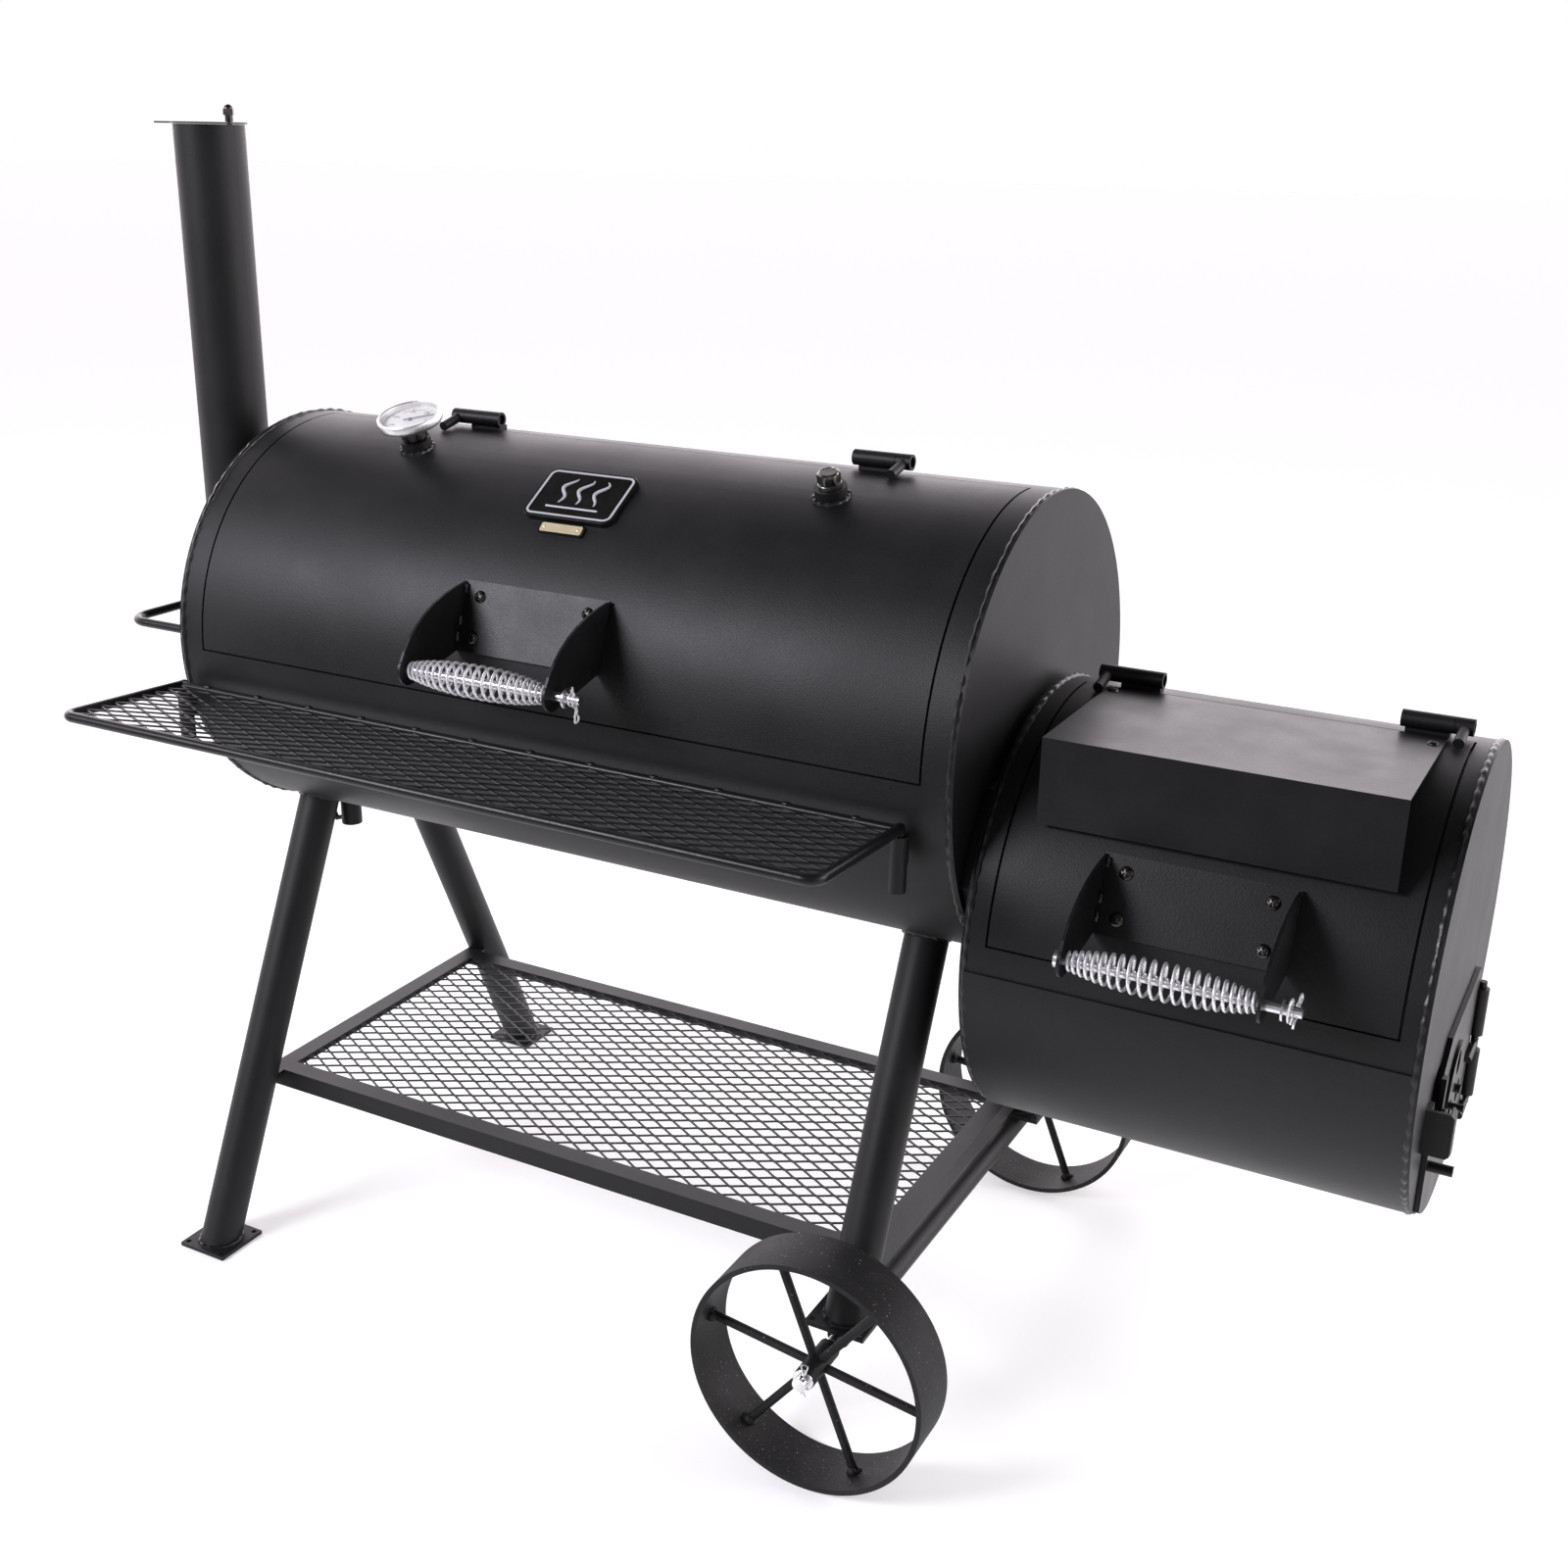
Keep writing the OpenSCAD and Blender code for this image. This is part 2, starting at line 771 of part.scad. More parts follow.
module foot_plate(x, y, z) {
    translate([x, y, z]) difference() {
        translate([-foot_size / 2, -foot_size / 2, 0]) cube([foot_size, foot_size, foot_t]);
        for (i = [-1, 1], j = [-1, 1])
            translate([i * foot_hole, j * foot_hole, -1]) cylinder(r = 3.5, h = foot_t + 2, $fn = 32);
    }
}

module foot_plates() {
    color(paint) at_home()
    for (side = [-1, 1]) {
        foot_plate(left_x, side * leg_y(foot_t), 0);
        foot_plate(right_x, side * leg_y(right_leg_z), right_leg_z - foot_t);
    }
}

// tube under the right foot plates that the axle runs through
module axle_carrier() {
    half = leg_y(right_leg_z) + 22;
    color(paint) at_home()
    translate([right_x, -half, wheel_z]) rotate([-90, 0, 0])
        tube(carrier_r, axle_d / 2 + fit_gap, 2 * half);
}

module axle() {
    color(steel) at_home()
    difference() {
        translate([right_x, -axle_half, wheel_z]) rotate([-90, 0, 0])
            cylinder(r = axle_d / 2, h = 2 * axle_half);
        for (side = [-1, 1])
            translate([right_x, side * clip_y, wheel_z - axle_d])
                cylinder(r = 1.6, h = 2 * axle_d, $fn = 24);
    }
}

module axle_clips() {
    color(chrome) at_home()
    for (side = [-1, 1]) {
        for (y = [wheel_y - hub_w / 2 - 3, wheel_y + hub_w / 2 + 1])
            translate([right_x, side * y + (side < 0 ? -2 : 0), wheel_z]) rotate([-90, 0, 0])
                tube(12, axle_d / 2, 2);
        translate([right_x, side * clip_y, wheel_z - 17]) cylinder(r = 1.5, h = 34, $fn = 24);
    }
}

module wheel(side) {
    color(dark_paint) at_home()
    translate([right_x, side * wheel_y, wheel_z]) rotate([90, 0, 0]) {
        translate([0, 0, -wheel_w / 2]) tube(wheel_d / 2, wheel_d / 2 - wheel_band, wheel_w);
        translate([0, 0, -hub_w / 2]) tube(hub_r, axle_d / 2 + fit_gap, hub_w);
        for (i = [0:spokes - 1])
            rotate([0, 0, spoke_a + i * 360 / spokes]) translate([hub_r - 1, 0, 0]) rotate([0, 90, 0])
                cylinder(r = spoke_r, h = wheel_d / 2 - wheel_band - hub_r + 2, $fn = 32);
    }
}

module front_wheel() {
    wheel(-1);
}

module back_wheel() {
    wheel(1);
}

// --- shelves -----------------------------------------------------------------------------
module lower_shelf_frame() {
    x0 = left_x - 8;
    x1 = right_x + 8;
    y1 = low_shelf_depth / 2;
    color(paint) at_home()
    difference() {
        union() {
            translate([x0, -y1, low_shelf_z - angle_leg]) cube([x1 - x0, 2 * y1, angle_leg]);
            for (x = [x0, x1 - angle_leg])
                translate([x, -rail_reach, low_shelf_z - angle_t])
                    cube([angle_leg, 2 * rail_reach, angle_t]);
            for (x = [x0, x1 - angle_t])
                translate([x, -rail_reach, low_shelf_z - angle_leg])
                    cube([angle_t, 2 * rail_reach, angle_leg]);
        }
        translate([x0 + angle_t, -y1 + angle_t, low_shelf_z - angle_leg - 1])
            cube([x1 - x0 - 2 * angle_t, 2 * y1 - 2 * angle_t, angle_leg - angle_t + 1]);
        translate([x0 + angle_leg, -y1 + angle_leg, low_shelf_z - angle_leg - 1])
            cube([x1 - x0 - 2 * angle_leg, 2 * y1 - 2 * angle_leg, angle_leg + 2]);
        for (x = [left_x, right_x], side = [-1, 1])
            translate([x, side * leg_foot_y, 0]) rotate([side * leg_tilt, 0, 0])
                cylinder(r = leg_d / 2 + 0.2, h = 2 * low_shelf_z);
    }
}

module lower_shelf_mesh() {
    x0 = left_x - 8 + angle_leg - mesh_lap;
    x1 = right_x + 8 - angle_leg + mesh_lap;
    y1 = low_shelf_depth / 2 - angle_leg + mesh_lap;
    color(dark_paint) at_home()
    translate([x0, -y1, low_shelf_z - angle_t - mesh_t])
        cube([x1 - x0, 2 * y1, mesh_t]);
}

// two short pipes welded upright to the barrel, which the front shelf drops into
module shelf_sleeves() {
    top = front_shelf_z - rod_r - 1;
    color(dark_paint) at_home()
    for (x = [front_shelf_x0 + rod_r, front_shelf_x1 - rod_r])
        difference() {
            union() {
                translate([x, -sleeve_y, top - sleeve_h])
                    cylinder(r = sleeve_r, h = sleeve_h);
                translate([x - 4, -sleeve_y, top - 5 - sleeve_h / 2])
                    cube([8, 16, sleeve_h / 2]);
            }
            translate([x, -sleeve_y, front_shelf_z - 120]) cylinder(r = rod_r + 0.3, h = 160);
            along_x(x - 30, x + 30, barrel_z) circle(barrel_r, $fn = 180);
        }
}

// quarter turn of the shelf's rod
module shelf_bend(turn) {
    rotate([0, 0, turn]) rotate_extrude(angle = 90)
        translate([shelf_corner, 0]) circle(rod_r, $fn = 32);
}

// rod frame: the two side rods turn down into the sleeves
module front_shelf() {
    x0 = front_shelf_x0 + rod_r;
    x1 = front_shelf_x1 - rod_r;
    y0 = -sleeve_y;
    y1 = -front_shelf_depth;
    color(paint) at_home() {
        for (x = [x0, x1]) {
            rod([x, y0, front_shelf_z - sleeve_h], [x, y0, front_shelf_z], rod_r);
            knee([x, y0, front_shelf_z], rod_r);
        }
        translate([0, y0, front_shelf_z]) rotate([-shelf_tilt, 0, 0]) {
            for (x = [x0, x1]) rod([x, y1 + shelf_corner, 0], [x, 0, 0], rod_r);
            rod([x0 + shelf_corner, y1, 0], [x1 - shelf_corner, y1, 0], rod_r);
            rod([x0, -shelf_back, 0], [x1, -shelf_back, 0], rod_r - 1);
            translate([x0 + shelf_corner, y1 + shelf_corner, 0]) shelf_bend(180);
            translate([x1 - shelf_corner, y1 + shelf_corner, 0]) shelf_bend(270);
        }
    }
}

// plate that stands for the expanded metal, round at its two front corners
module front_shelf_mesh() {
    w = front_shelf_x1 - front_shelf_x0 - 4 * rod_r;
    back = -shelf_back - rod_r + 1;
    front = -front_shelf_depth + rod_r;
    round_r = shelf_corner - rod_r;
    color(dark_paint) at_home()
    translate([front_shelf_x0 + 2 * rod_r, -sleeve_y, front_shelf_z]) rotate([-shelf_tilt, 0, 0])
        translate([0, 0, -mesh_t / 2]) linear_extrude(mesh_t) {
            translate([0, front + round_r]) square([w, back - front - round_r]);
            translate([round_r, front]) square([w - 2 * round_r, round_r]);
            for (x = [round_r, w - round_r]) translate([x, front + round_r]) circle(round_r);
        }
}

// --- small parts on the barrel -----------------------------------------------------------
module push_handle() {
    x0 = barrel_x0 - push_out;
    color(paint) at_home()
    translate([0, 0, barrel_z + 10]) {
        for (side = [-1, 1]) {
            rod([barrel_x0, side * push_y, 0], [x0 + push_bend, side * push_y, 0], push_r);
            translate([x0 + push_bend, side * (push_y - push_bend), 0])
                rotate([0, 0, side > 0 ? 90 : 180]) rotate_extrude(angle = 90)
                    translate([push_bend, 0]) circle(push_r, $fn = 32);
        }
        rod([x0, -push_y + push_bend, 0], [x0, push_y - push_bend, 0], push_r);
    }
}

// grease drain with the hook that a pail hangs from
module drain_nipple() {
    base = barrel_z - barrel_r - drain_drop;
    hook = [drain_x - drain_out - 12.5, drain_y, base + 1];
    color(dark_paint) at_home()
    difference() {
        union() {
            translate([drain_x, drain_y, base]) cylinder(r = drain_out, h = 60);
            rod([drain_x - drain_out + 0.5, drain_y, base + 5], hook, hook_r);
            knee(hook, hook_r);
            rod(hook, hook + [-4, 0, 10], hook_r);
        }
        translate([drain_x, drain_y, base - 1]) cylinder(r = drain_r, h = 80);
        along_x(drain_x - 60, drain_x + 60, barrel_z) circle(barrel_r, $fn = 180);
    }
}

// --- inside ------------------------------------------------------------------------------
// an angle strip along one side of a round chamber, its flat side up
module ledge(x0, x1, z_axis, drop, r, side) {
    half = sqrt(r * r - drop * drop);
    along_x(x0, x1, z_axis - drop)
        intersection() {
            translate([side > 0 ? half - 24 : -half - 6, -18]) difference() {
                square([30, 18]);
                translate([side > 0 ? -1 : 3, -1]) square([28, 16]);
            }
            translate([0, drop]) circle(r, $fn = 180);
        }
}

module grate_ledges() {
    color(dark_paint) at_home()
    for (side = [-1, 1]) {
        ledge(barrel_x0 + cap_t, -cap_t, barrel_z, grate_drop, barrel_r - barrel_wall, side);
        ledge(firebox_x0 + cap_t, firebox_x1 - cap_t, firebox_z, coal_drop, box_ledge_r, side);
    }
}

// a grate of round bars on a rod frame
module grate(x0, x1, y1, z, bars, r) {
    for (x = [x0 + r, x1 - r]) rod([x, -y1, z], [x, y1, z], r);
    for (i = [0:bars])
        let (y = -y1 + r + (2 * y1 - 2 * r) * i / bars)
            rod([x0 + r, y, z], [x1 - r, y, z], r - 1);
}

module cooking_grate(i) {
    pitch = (barrel_l - 2 * cap_t - 6) / 3;
    x0 = barrel_x0 + cap_t + 3 + pitch * i;
    half = sqrt(pow(barrel_r - barrel_wall, 2) - grate_drop * grate_drop) - 6;
    color(steel) at_home()
        grate(x0 + 2, x0 + pitch - 2, half, barrel_z - grate_drop + grate_r, 16, grate_r);
}

module cooking_grate_1() {
    cooking_grate(0);
}

module cooking_grate_2() {
    cooking_grate(1);
}

module cooking_grate_3() {
    cooking_grate(2);
}

module charcoal_grate() {
    half = sqrt(pow(firebox_r - firebox_wall, 2) - coal_drop * coal_drop) - 8;
    color(steel) at_home()
    grate(firebox_x0 + cap_t + 8, firebox_x1 - cap_t - 8, half, firebox_z - coal_drop + 5, 12, 5);
}

// --- firebox end door ----------------------------------------------------------------------
module door_shape() {
    intersection() {
        circle(firebox_r - 1, $fn = 180);
        polygon([[-door_y, -firebox_r], [-door_y, door_top - 48], [-door_y + 72, door_top],
            [door_y, door_top], [door_y, -firebox_r]]);
    }
}

module vents(x0, x1) {
    for (a = [90, 210, 330])
        translate([x0, vent_ring * cos(a), firebox_z + vent_z + vent_ring * sin(a)])
            rotate([0, 90, 0]) cylinder(r = vent_r, h = x1 - x0);
}

module firebox_door() {
    color(paint) at_home()
    difference() {
        union() {
            along_x(door_x, door_x + door_t, firebox_z) door_shape();
            for (z = door_arm_z) {
                axis = [door_axis_x, door_axis_y, firebox_z + z];
                rod(axis, axis + [0, door_y - door_arm_lap - door_axis_y, 0], door_pin_r);
            }
            translate([door_axis_x, door_axis_y, firebox_z + door_pin_z0])
                cylinder(r = door_pin_r, h = door_pin_len);
            translate([door_x + door_t, pull_y, firebox_z + pull_z]) rotate([0, 90, 0])
                cylinder(r = 5.5, h = pull_out, $fn = 32);
        }
        vents(door_x - 1, door_x + door_t + 1);
        translate([door_x - 1, 0, firebox_z + vent_z]) rotate([0, 90, 0])
            cylinder(r = damper_pin_r + fit_gap, h = door_t + 2);
        translate([door_x - 1, latch_y, firebox_z + latch_z]) rotate([0, 90, 0])
            cylinder(r = damper_pin_r + fit_gap, h = door_t + 2);
    }
}

module door_hinge_tubes() {
    color(dark_paint) at_home()
    for (z = door_tube_z)
        difference() {
            union() {
                translate([door_axis_x, door_axis_y, firebox_z + z])
                    cylinder(r = door_tube_r, h = door_tube_len);
                translate([firebox_x1, door_axis_y - 3, firebox_z + z]) cube([8, 12, door_tube_len]);
            }
            translate([door_axis_x, door_axis_y, firebox_z + z - 1])
                cylinder(r = door_pin_r + fit_gap, h = door_tube_len + 2);
        }
}

// rotary air damper: a disc with holes that line up with those of the door
module door_damper() {
    color(dark_paint) at_home() {
        difference() {
            translate([door_x + door_t + 0.4, 0, firebox_z + vent_z]) rotate([0, 90, 0])
                cylinder(r = damper_r, h = 3);
            vents(door_x, door_x + door_t + 20);
        }
        translate([door_x - 3, 0, firebox_z + vent_z]) rotate([0, 90, 0])
            cylinder(r = damper_pin_r, h = door_t + 12);
        translate([door_x + door_t + 0.4, -damper_r + 8, firebox_z + vent_z]) rotate([0, 90, 0])
            cylinder(r = 4, h = 18, $fn = 32);
    }
}

// drop bar that turns on the door and falls into the keeper; it is drawn parked, past upright
module door_latch() {
    color(dark_paint) at_home()
    translate([door_x, latch_y, firebox_z + latch_z]) rotate([-latch_park, 0, 0]) {
        rotate([0, 90, 0]) cylinder(r = damper_pin_r, h = door_t + 8);
        translate([door_t + 0.4, -latch_reach, -latch_h / 2]) cube([5, latch_reach + latch_tail, latch_h]);
    }
}

// pocket on the cap beside the door's free edge, open above and towards the door
module door_keeper() {
    color(dark_paint) at_home()
    translate([firebox_x1, keeper_y, firebox_z + keeper_z]) difference() {
        cube([keeper_out, keeper_w, keeper_h]);
        translate([keeper_t, keeper_t - 1, keeper_t])
            cube([keeper_out - 2 * keeper_t, keeper_w, keeper_h]);
        translate([keeper_out, -1, 0]) rotate([0, 45, 0])
            cube([keeper_t, keeper_w + 2, keeper_t], center = true);
        translate([keeper_out, -1, keeper_h]) rotate([0, 45, 0])
            cube([keeper_t, 2 * keeper_w + 2, keeper_t], center = true);
    }
}

barrel_shell();
barrel_left_cap();
barrel_right_cap();
lid_rest_strips();
throat_collar();
firebox_upper_shell();
firebox_lower_shell();
firebox_left_cap();
firebox_right_cap();
stack_pipe();
stack_damper_bolt();
lid_hinge_tubes();
lid_hinge_pins();
front_left_leg();
back_left_leg();
front_right_leg();
back_right_leg();
foot_plates();
axle_carrier();
axle();
axle_clips();
lower_shelf_frame();
lower_shelf_mesh();
shelf_sleeves();
push_handle();
drain_nipple();
grate_ledges();
cooking_grate_1();
cooking_grate_2();
cooking_grate_3();
charcoal_grate();
door_hinge_tubes();
door_keeper();
main_lid();
main_lid_knuckles();
main_handle_bracket();
main_handle_rod();
main_handle_spring();
main_handle_screws();
thermometer_case();
thermometer_dial();
thermometer_pointer();
port_boss();
port_plug();
lid_badge();
firebox_lid();
firebox_lid_knuckles();
firebox_handle_bracket();
firebox_handle_rod();
firebox_handle_spring();
firebox_handle_screws();
heat_shield();
firebox_door();
door_damper();
door_latch();
stack_damper();
front_wheel();
back_wheel();
front_shelf();
front_shelf_mesh();
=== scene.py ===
"""Finishes and small parts of an offset smoker, laid out as an add-on.

Lengths are metres in the frame of the loaded model: X along the barrel, the cook on the -Y side, Z up.
"""
import math

import bpy
import numpy as np
from mathutils import Matrix, Vector


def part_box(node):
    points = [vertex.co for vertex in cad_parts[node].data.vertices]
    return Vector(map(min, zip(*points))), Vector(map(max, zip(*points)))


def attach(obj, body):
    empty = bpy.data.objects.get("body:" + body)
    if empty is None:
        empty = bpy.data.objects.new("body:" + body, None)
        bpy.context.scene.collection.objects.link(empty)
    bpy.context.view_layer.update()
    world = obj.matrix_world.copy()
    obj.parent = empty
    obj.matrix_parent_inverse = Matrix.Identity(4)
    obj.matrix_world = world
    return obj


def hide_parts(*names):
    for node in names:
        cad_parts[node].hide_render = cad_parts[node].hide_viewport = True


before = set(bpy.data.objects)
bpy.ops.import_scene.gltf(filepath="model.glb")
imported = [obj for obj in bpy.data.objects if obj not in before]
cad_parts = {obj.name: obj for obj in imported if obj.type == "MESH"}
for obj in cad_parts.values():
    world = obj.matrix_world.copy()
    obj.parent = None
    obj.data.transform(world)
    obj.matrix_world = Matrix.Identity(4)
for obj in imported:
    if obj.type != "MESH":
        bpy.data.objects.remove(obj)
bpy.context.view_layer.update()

bl_info = {
    "name": "Offset Smoker",
    "version": (1, 0, 0),
    "blender": (4, 5, 0),
    "location": "View3D > Sidebar > Smoker",
    "description": "Paint, welds, springs, mesh shelves, gauge and hardware of an offset smoker",
    "category": "Object",
}

MM = 0.001


# --- places taken from the frame ------------------------------------------------------------
def corners(node):
    """Lowest and highest corner of a node as arrays."""
    low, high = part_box(node)
    return np.array(low), np.array(high)


def middle(part):
    """Middle of a node's box."""
    return sum(corners(part)) / 2


_low, _high = corners("barrel_right_cap")
BARREL_RIGHT = _high[0]
MID_Y = (_low[1] + _high[1]) / 2
BARREL_Z = (_low[2] + _high[2]) / 2
BARREL_R = (_high[2] - _low[2]) / 2 - 1 * MM
BARREL_LEFT = corners("barrel_left_cap")[0][0]
_low, _high = corners("firebox_left_cap")
BOX_LEFT = _low[0]
BOX_Z = (_low[2] + _high[2]) / 2
BOX_R = (_high[2] - _low[2]) / 2
BOX_RIGHT = corners("firebox_right_cap")[1][0]
CAP_T = 5 * MM

FOOT_Y = 337 * MM  # from the middle to a leg's foot
LEG_TOP = 69  # angle below level at which a leg meets the barrel
SPOKES = 6
FIRST_SPOKE = 52  # its angle on the wheel
WHEEL_BAND = 6 * MM
HUB_HALF = 30 * MM
DIAL_UP = 38 * MM  # dial above the lid
SCREW_X = 71 * MM  # bracket screws from the bracket's middle
SCREW_Z = 23 * MM

# angles from the front (0) over the top (90), in degrees
HANDLE_ANGLE = 21
BOX_HANDLE_ANGLE = 25.5
DIAL_ANGLE = 71
PLUG_ANGLE = 70.5
BADGE_ANGLE = 58
TAG_ANGLE = 47

# each handle: first word of its names, body, drum's axis height, drum's radius, angle
HANDLES = (("main", "lid", BARREL_Z, BARREL_R, HANDLE_ANGLE),
           ("firebox", "fire_lid", BOX_Z, BOX_R, BOX_HANDLE_ANGLE))


def on_curve(points, x, axis_z, angle, radius):
    """Puts local points (along X, up over the drum, out of it) at an angle on a drum about X."""
    a = math.radians(angle)
    out = radius + points[..., 2]
    y = MID_Y + points[..., 1] * math.sin(a) - out * math.cos(a)
    z = axis_z + points[..., 1] * math.cos(a) + out * math.sin(a)
    return np.stack([x + points[..., 0], y, z], -1)


def placer(part, angle, axis_z=None, radius=None):
    """Puts local points at an angle on a drum, over the middle of a part; the barrel is the usual drum."""
    x = middle(part)[0]
    axis_z = BARREL_Z if axis_z is None else axis_z
    radius = BARREL_R if radius is None else radius
    return lambda points: on_curve(points, x, axis_z, angle, radius)


# --- surfaces -------------------------------------------------------------------------------
def grid_faces(rows, columns, wrap_rows, wrap_columns):
    """Quads between neighbouring points of a rows by columns grid."""
    i = np.arange(rows if wrap_rows else rows - 1)[:, None]
    j = np.arange(columns if wrap_columns else columns - 1)[None, :]
    i2 = (i + 1) % rows
    j2 = (j + 1) % columns
    quads = [i * columns + j, i2 * columns + j, i2 * columns + j2, i * columns + j2]
    return np.stack([q + 0 * (i + j) for q in quads], -1).reshape(-1, 4)


def outward(points, faces):
    """Turns a closed surface right way out: the signed volume of its four-cornered rows has to be positive.

    A triangle is a row whose last two corners are one.
    """
    p = points - points.mean(0)
    a, b, c, d = (p[faces[:, k]] for k in range(4))
    volume = np.einsum("ij,ij->", a, np.cross(b, c)) + np.einsum("ij,ij->", a, np.cross(c, d))
    triangle = faces[:, 2:3] == faces[:, 3:]
    return faces if volume > 0 else np.where(triangle, faces[:, [2, 1, 0, 0]], faces[:, ::-1])


def closed_grid(points, wrap_rows=False):
    """A grid whose columns wrap; unless its rows wrap too, each end row is closed by a fan to its middle."""
    rows, columns = points.shape[:2]
    faces = grid_faces(rows, columns, wrap_rows, True)
    flat = points.reshape(-1, 3)
    if not wrap_rows:
        j = np.arange(columns)
        k = (j + 1) % columns
        first = np.full(columns, rows * columns)
        last_row = (rows - 1) * columns
        faces = np.concatenate([faces, np.stack([j, k, first, first], -1),
                                np.stack([last_row + k, last_row + j, first + 1, first + 1], -1)])
        flat = np.concatenate([flat, [points[0].mean(0), points[-1].mean(0)]])
    return flat, outward(flat, faces)


def sweep(path, radius, sides, reference, wrap=False):
    """A round section carried along a path: side = tangent x reference, and the circle turns from it.

    radius is one number, one for each point of the path, or one for each point and side.
    """
    path = np.asarray(path, float)
    if wrap:
        tangent = np.roll(path, -1, 0) - np.roll(path, 1, 0)
    else:
        tangent = np.gradient(path, axis=0)
    tangent /= np.linalg.norm(tangent, axis=1)[:, None]
    side = np.cross(tangent, np.asarray(reference, float))
    side /= np.linalg.norm(side, axis=1)[:, None]
    other = np.cross(side, tangent)
    turn = np.arange(sides) * 2 * math.pi / sides
    r = np.broadcast_to(np.asarray(radius, float).reshape(-1, 1) if np.ndim(radius) < 2 else radius,
                        (len(path), sides))
    ring = side[:, None] * np.cos(turn)[:, None] + other[:, None] * np.sin(turn)[:, None]
    return closed_grid(path[:, None] + ring * r[..., None], wrap)


def turned(profile, place, sides=48, wrap_rows=False, apothem=math.inf):
    """A profile of (radius, height) turned about the local Z axis, then put in place.

    With an apothem it is a hex bar cut by the profile: radius = the lesser of the flat's distance and
    the profile's.
    """
    profile = np.asarray(profile, float)
    turn = np.arange(sides) * 2 * math.pi / sides
    flat = apothem / np.cos((turn + math.pi / 6) % (math.pi / 3) - math.pi / 6)
    r = np.minimum(profile[:, :1], flat)
    z = profile[:, 1:] + 0 * turn
    return closed_grid(place(np.stack([r * np.cos(turn), r * np.sin(turn), z], -1)), wrap_rows)


def slab(width, height, corner, layers, place, steps=12):
    """A plate with round corners: each layer (inset, z) is the outline drawn in by inset."""
    quarter = np.linspace(0, math.pi / 2, steps)
    turn = np.concatenate([quarter + k * math.pi / 2 for k in range(4)])
    sign_x = np.repeat([1, -1, -1, 1], steps)
    sign_y = np.repeat([1, 1, -1, -1], steps)
    rings = []
    for inset, z in layers:
        r = max(corner - inset, 0.1 * MM)
        x = sign_x * (width / 2 - corner) + r * np.cos(turn)
        y = sign_y * (height / 2 - corner) + r * np.sin(turn)
        rings.append(np.stack([x, y, np.full_like(x, z)], -1))
    return place(np.array(rings))


def solid_slab(width, height, corner, layers, place):
    """A closed plate with round corners."""
    return closed_grid(slab(width, height, corner, layers, place))


def frame_slab(width, height, corner, wall, z0, z1, place):
    """A closed border: the outline and the outline drawn in by the wall, joined above and below."""
    layers = [(0, z0), (0, z1), (wall, z1), (wall, z0)]
    return closed_grid(slab(width, height, corner, layers, place), wrap_rows=True)


def smooth_path(points, steps):
    """A Catmull-Rom curve through the points: each stretch is the usual cubic of four neighbours."""
    p = np.asarray(points, float)
    p = np.concatenate([[2 * p[0] - p[1]], p, [2 * p[-1] - p[-2]]])
    t = np.linspace(0, 1, steps, endpoint=False)[:, None, None]
    a, b, c, d = p[:-3], p[1:-2], p[2:-1], p[3:]
    curve = 0.5 * (2 * b + (c - a) * t + (2 * a - 5 * b + 4 * c - d) * t**2 + (3 * b - a - 3 * c + d) * t**3)
    return np.concatenate([curve.transpose(1, 0, 2).reshape(-1, p.shape[1]), p[-2:-1]])


def joined(parts):
    """Several surfaces as one array of points and one of faces."""
    starts = np.cumsum([0] + [len(points) for points, _ in parts])
    faces = np.concatenate([part_faces + start for (_, part_faces), start in zip(parts, starts)])
    return np.concatenate([points for points, _ in parts]), faces


def fill_mesh(mesh, points, faces):
    """Puts points and faces into a mesh; rows with a doubled last corner become triangles."""
    sides = np.where(faces[:, 2] == faces[:, 3], 3, 4)
    used = np.arange(4) < sides[:, None]
    mesh.vertices.add(len(points))
    mesh.vertices.foreach_set("co", points.astype(np.float32).ravel())
    mesh.loops.add(int(sides.sum()))
    mesh.loops.foreach_set("vertex_index", faces[used].astype(np.int32))
    mesh.polygons.add(len(faces))
    mesh.polygons.foreach_set("loop_start", (np.cumsum(sides) - sides).astype(np.int32))
    mesh.update(calc_edges=True)
    mesh.validate()


def add_piece(name, parts, body, finish_name, slot, *replaced):
    """One object made of closed surfaces, riding on a body, in one finish; it may replace nodes."""
    points, faces = joined(parts)
    mesh = bpy.data.meshes.new(name)
    fill_mesh(mesh, points, faces)
    mesh.shade_smooth()
    mesh.set_sharp_from_angle(angle=math.radians(38))
    mesh.materials.append(finish(finish_name))
    piece = bpy.data.objects.new(name, mesh)
    bpy.context.scene.collection.objects.link(piece)
    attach(piece, body)
    if replaced:
        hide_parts(*replaced)
    return piece


# --- finishes -------------------------------------------------------------------------------
def shared_group(name, inputs, outputs, fill):
    """A shader group, built once: fill turns its inputs and the object coordinates into its outputs."""
    if name in bpy.data.node_groups:
        return bpy.data.node_groups[name]
    group = bpy.data.node_groups.new(name, "ShaderNodeTree")
    for label, value in inputs.items():
        socket = group.interface.new_socket(label, in_out="INPUT", socket_type="NodeSocketFloat")
        socket.default_value = value
    for label in outputs:
        group.interface.new_socket(label, in_out="OUTPUT", socket_type="NodeSocketFloat")
    source = group.nodes.new("NodeGroupInput")
    sink = group.nodes.new("NodeGroupOutput")
    place = group.nodes.new("ShaderNodeTexCoord").outputs["Object"]
    for label, value in zip(outputs, fill(group, source.outputs, place)):
        group.links.new(value, sink.inputs[label])
    return group


def node(tree, kind, **values):
    """A new node; values set its properties, or its inputs by name."""
    made = tree.nodes.new("ShaderNode" + kind)
    for label, value in values.items():
        if label in made.inputs:
            made.inputs[label].default_value = value
        else:
            setattr(made, label, value)
    return made


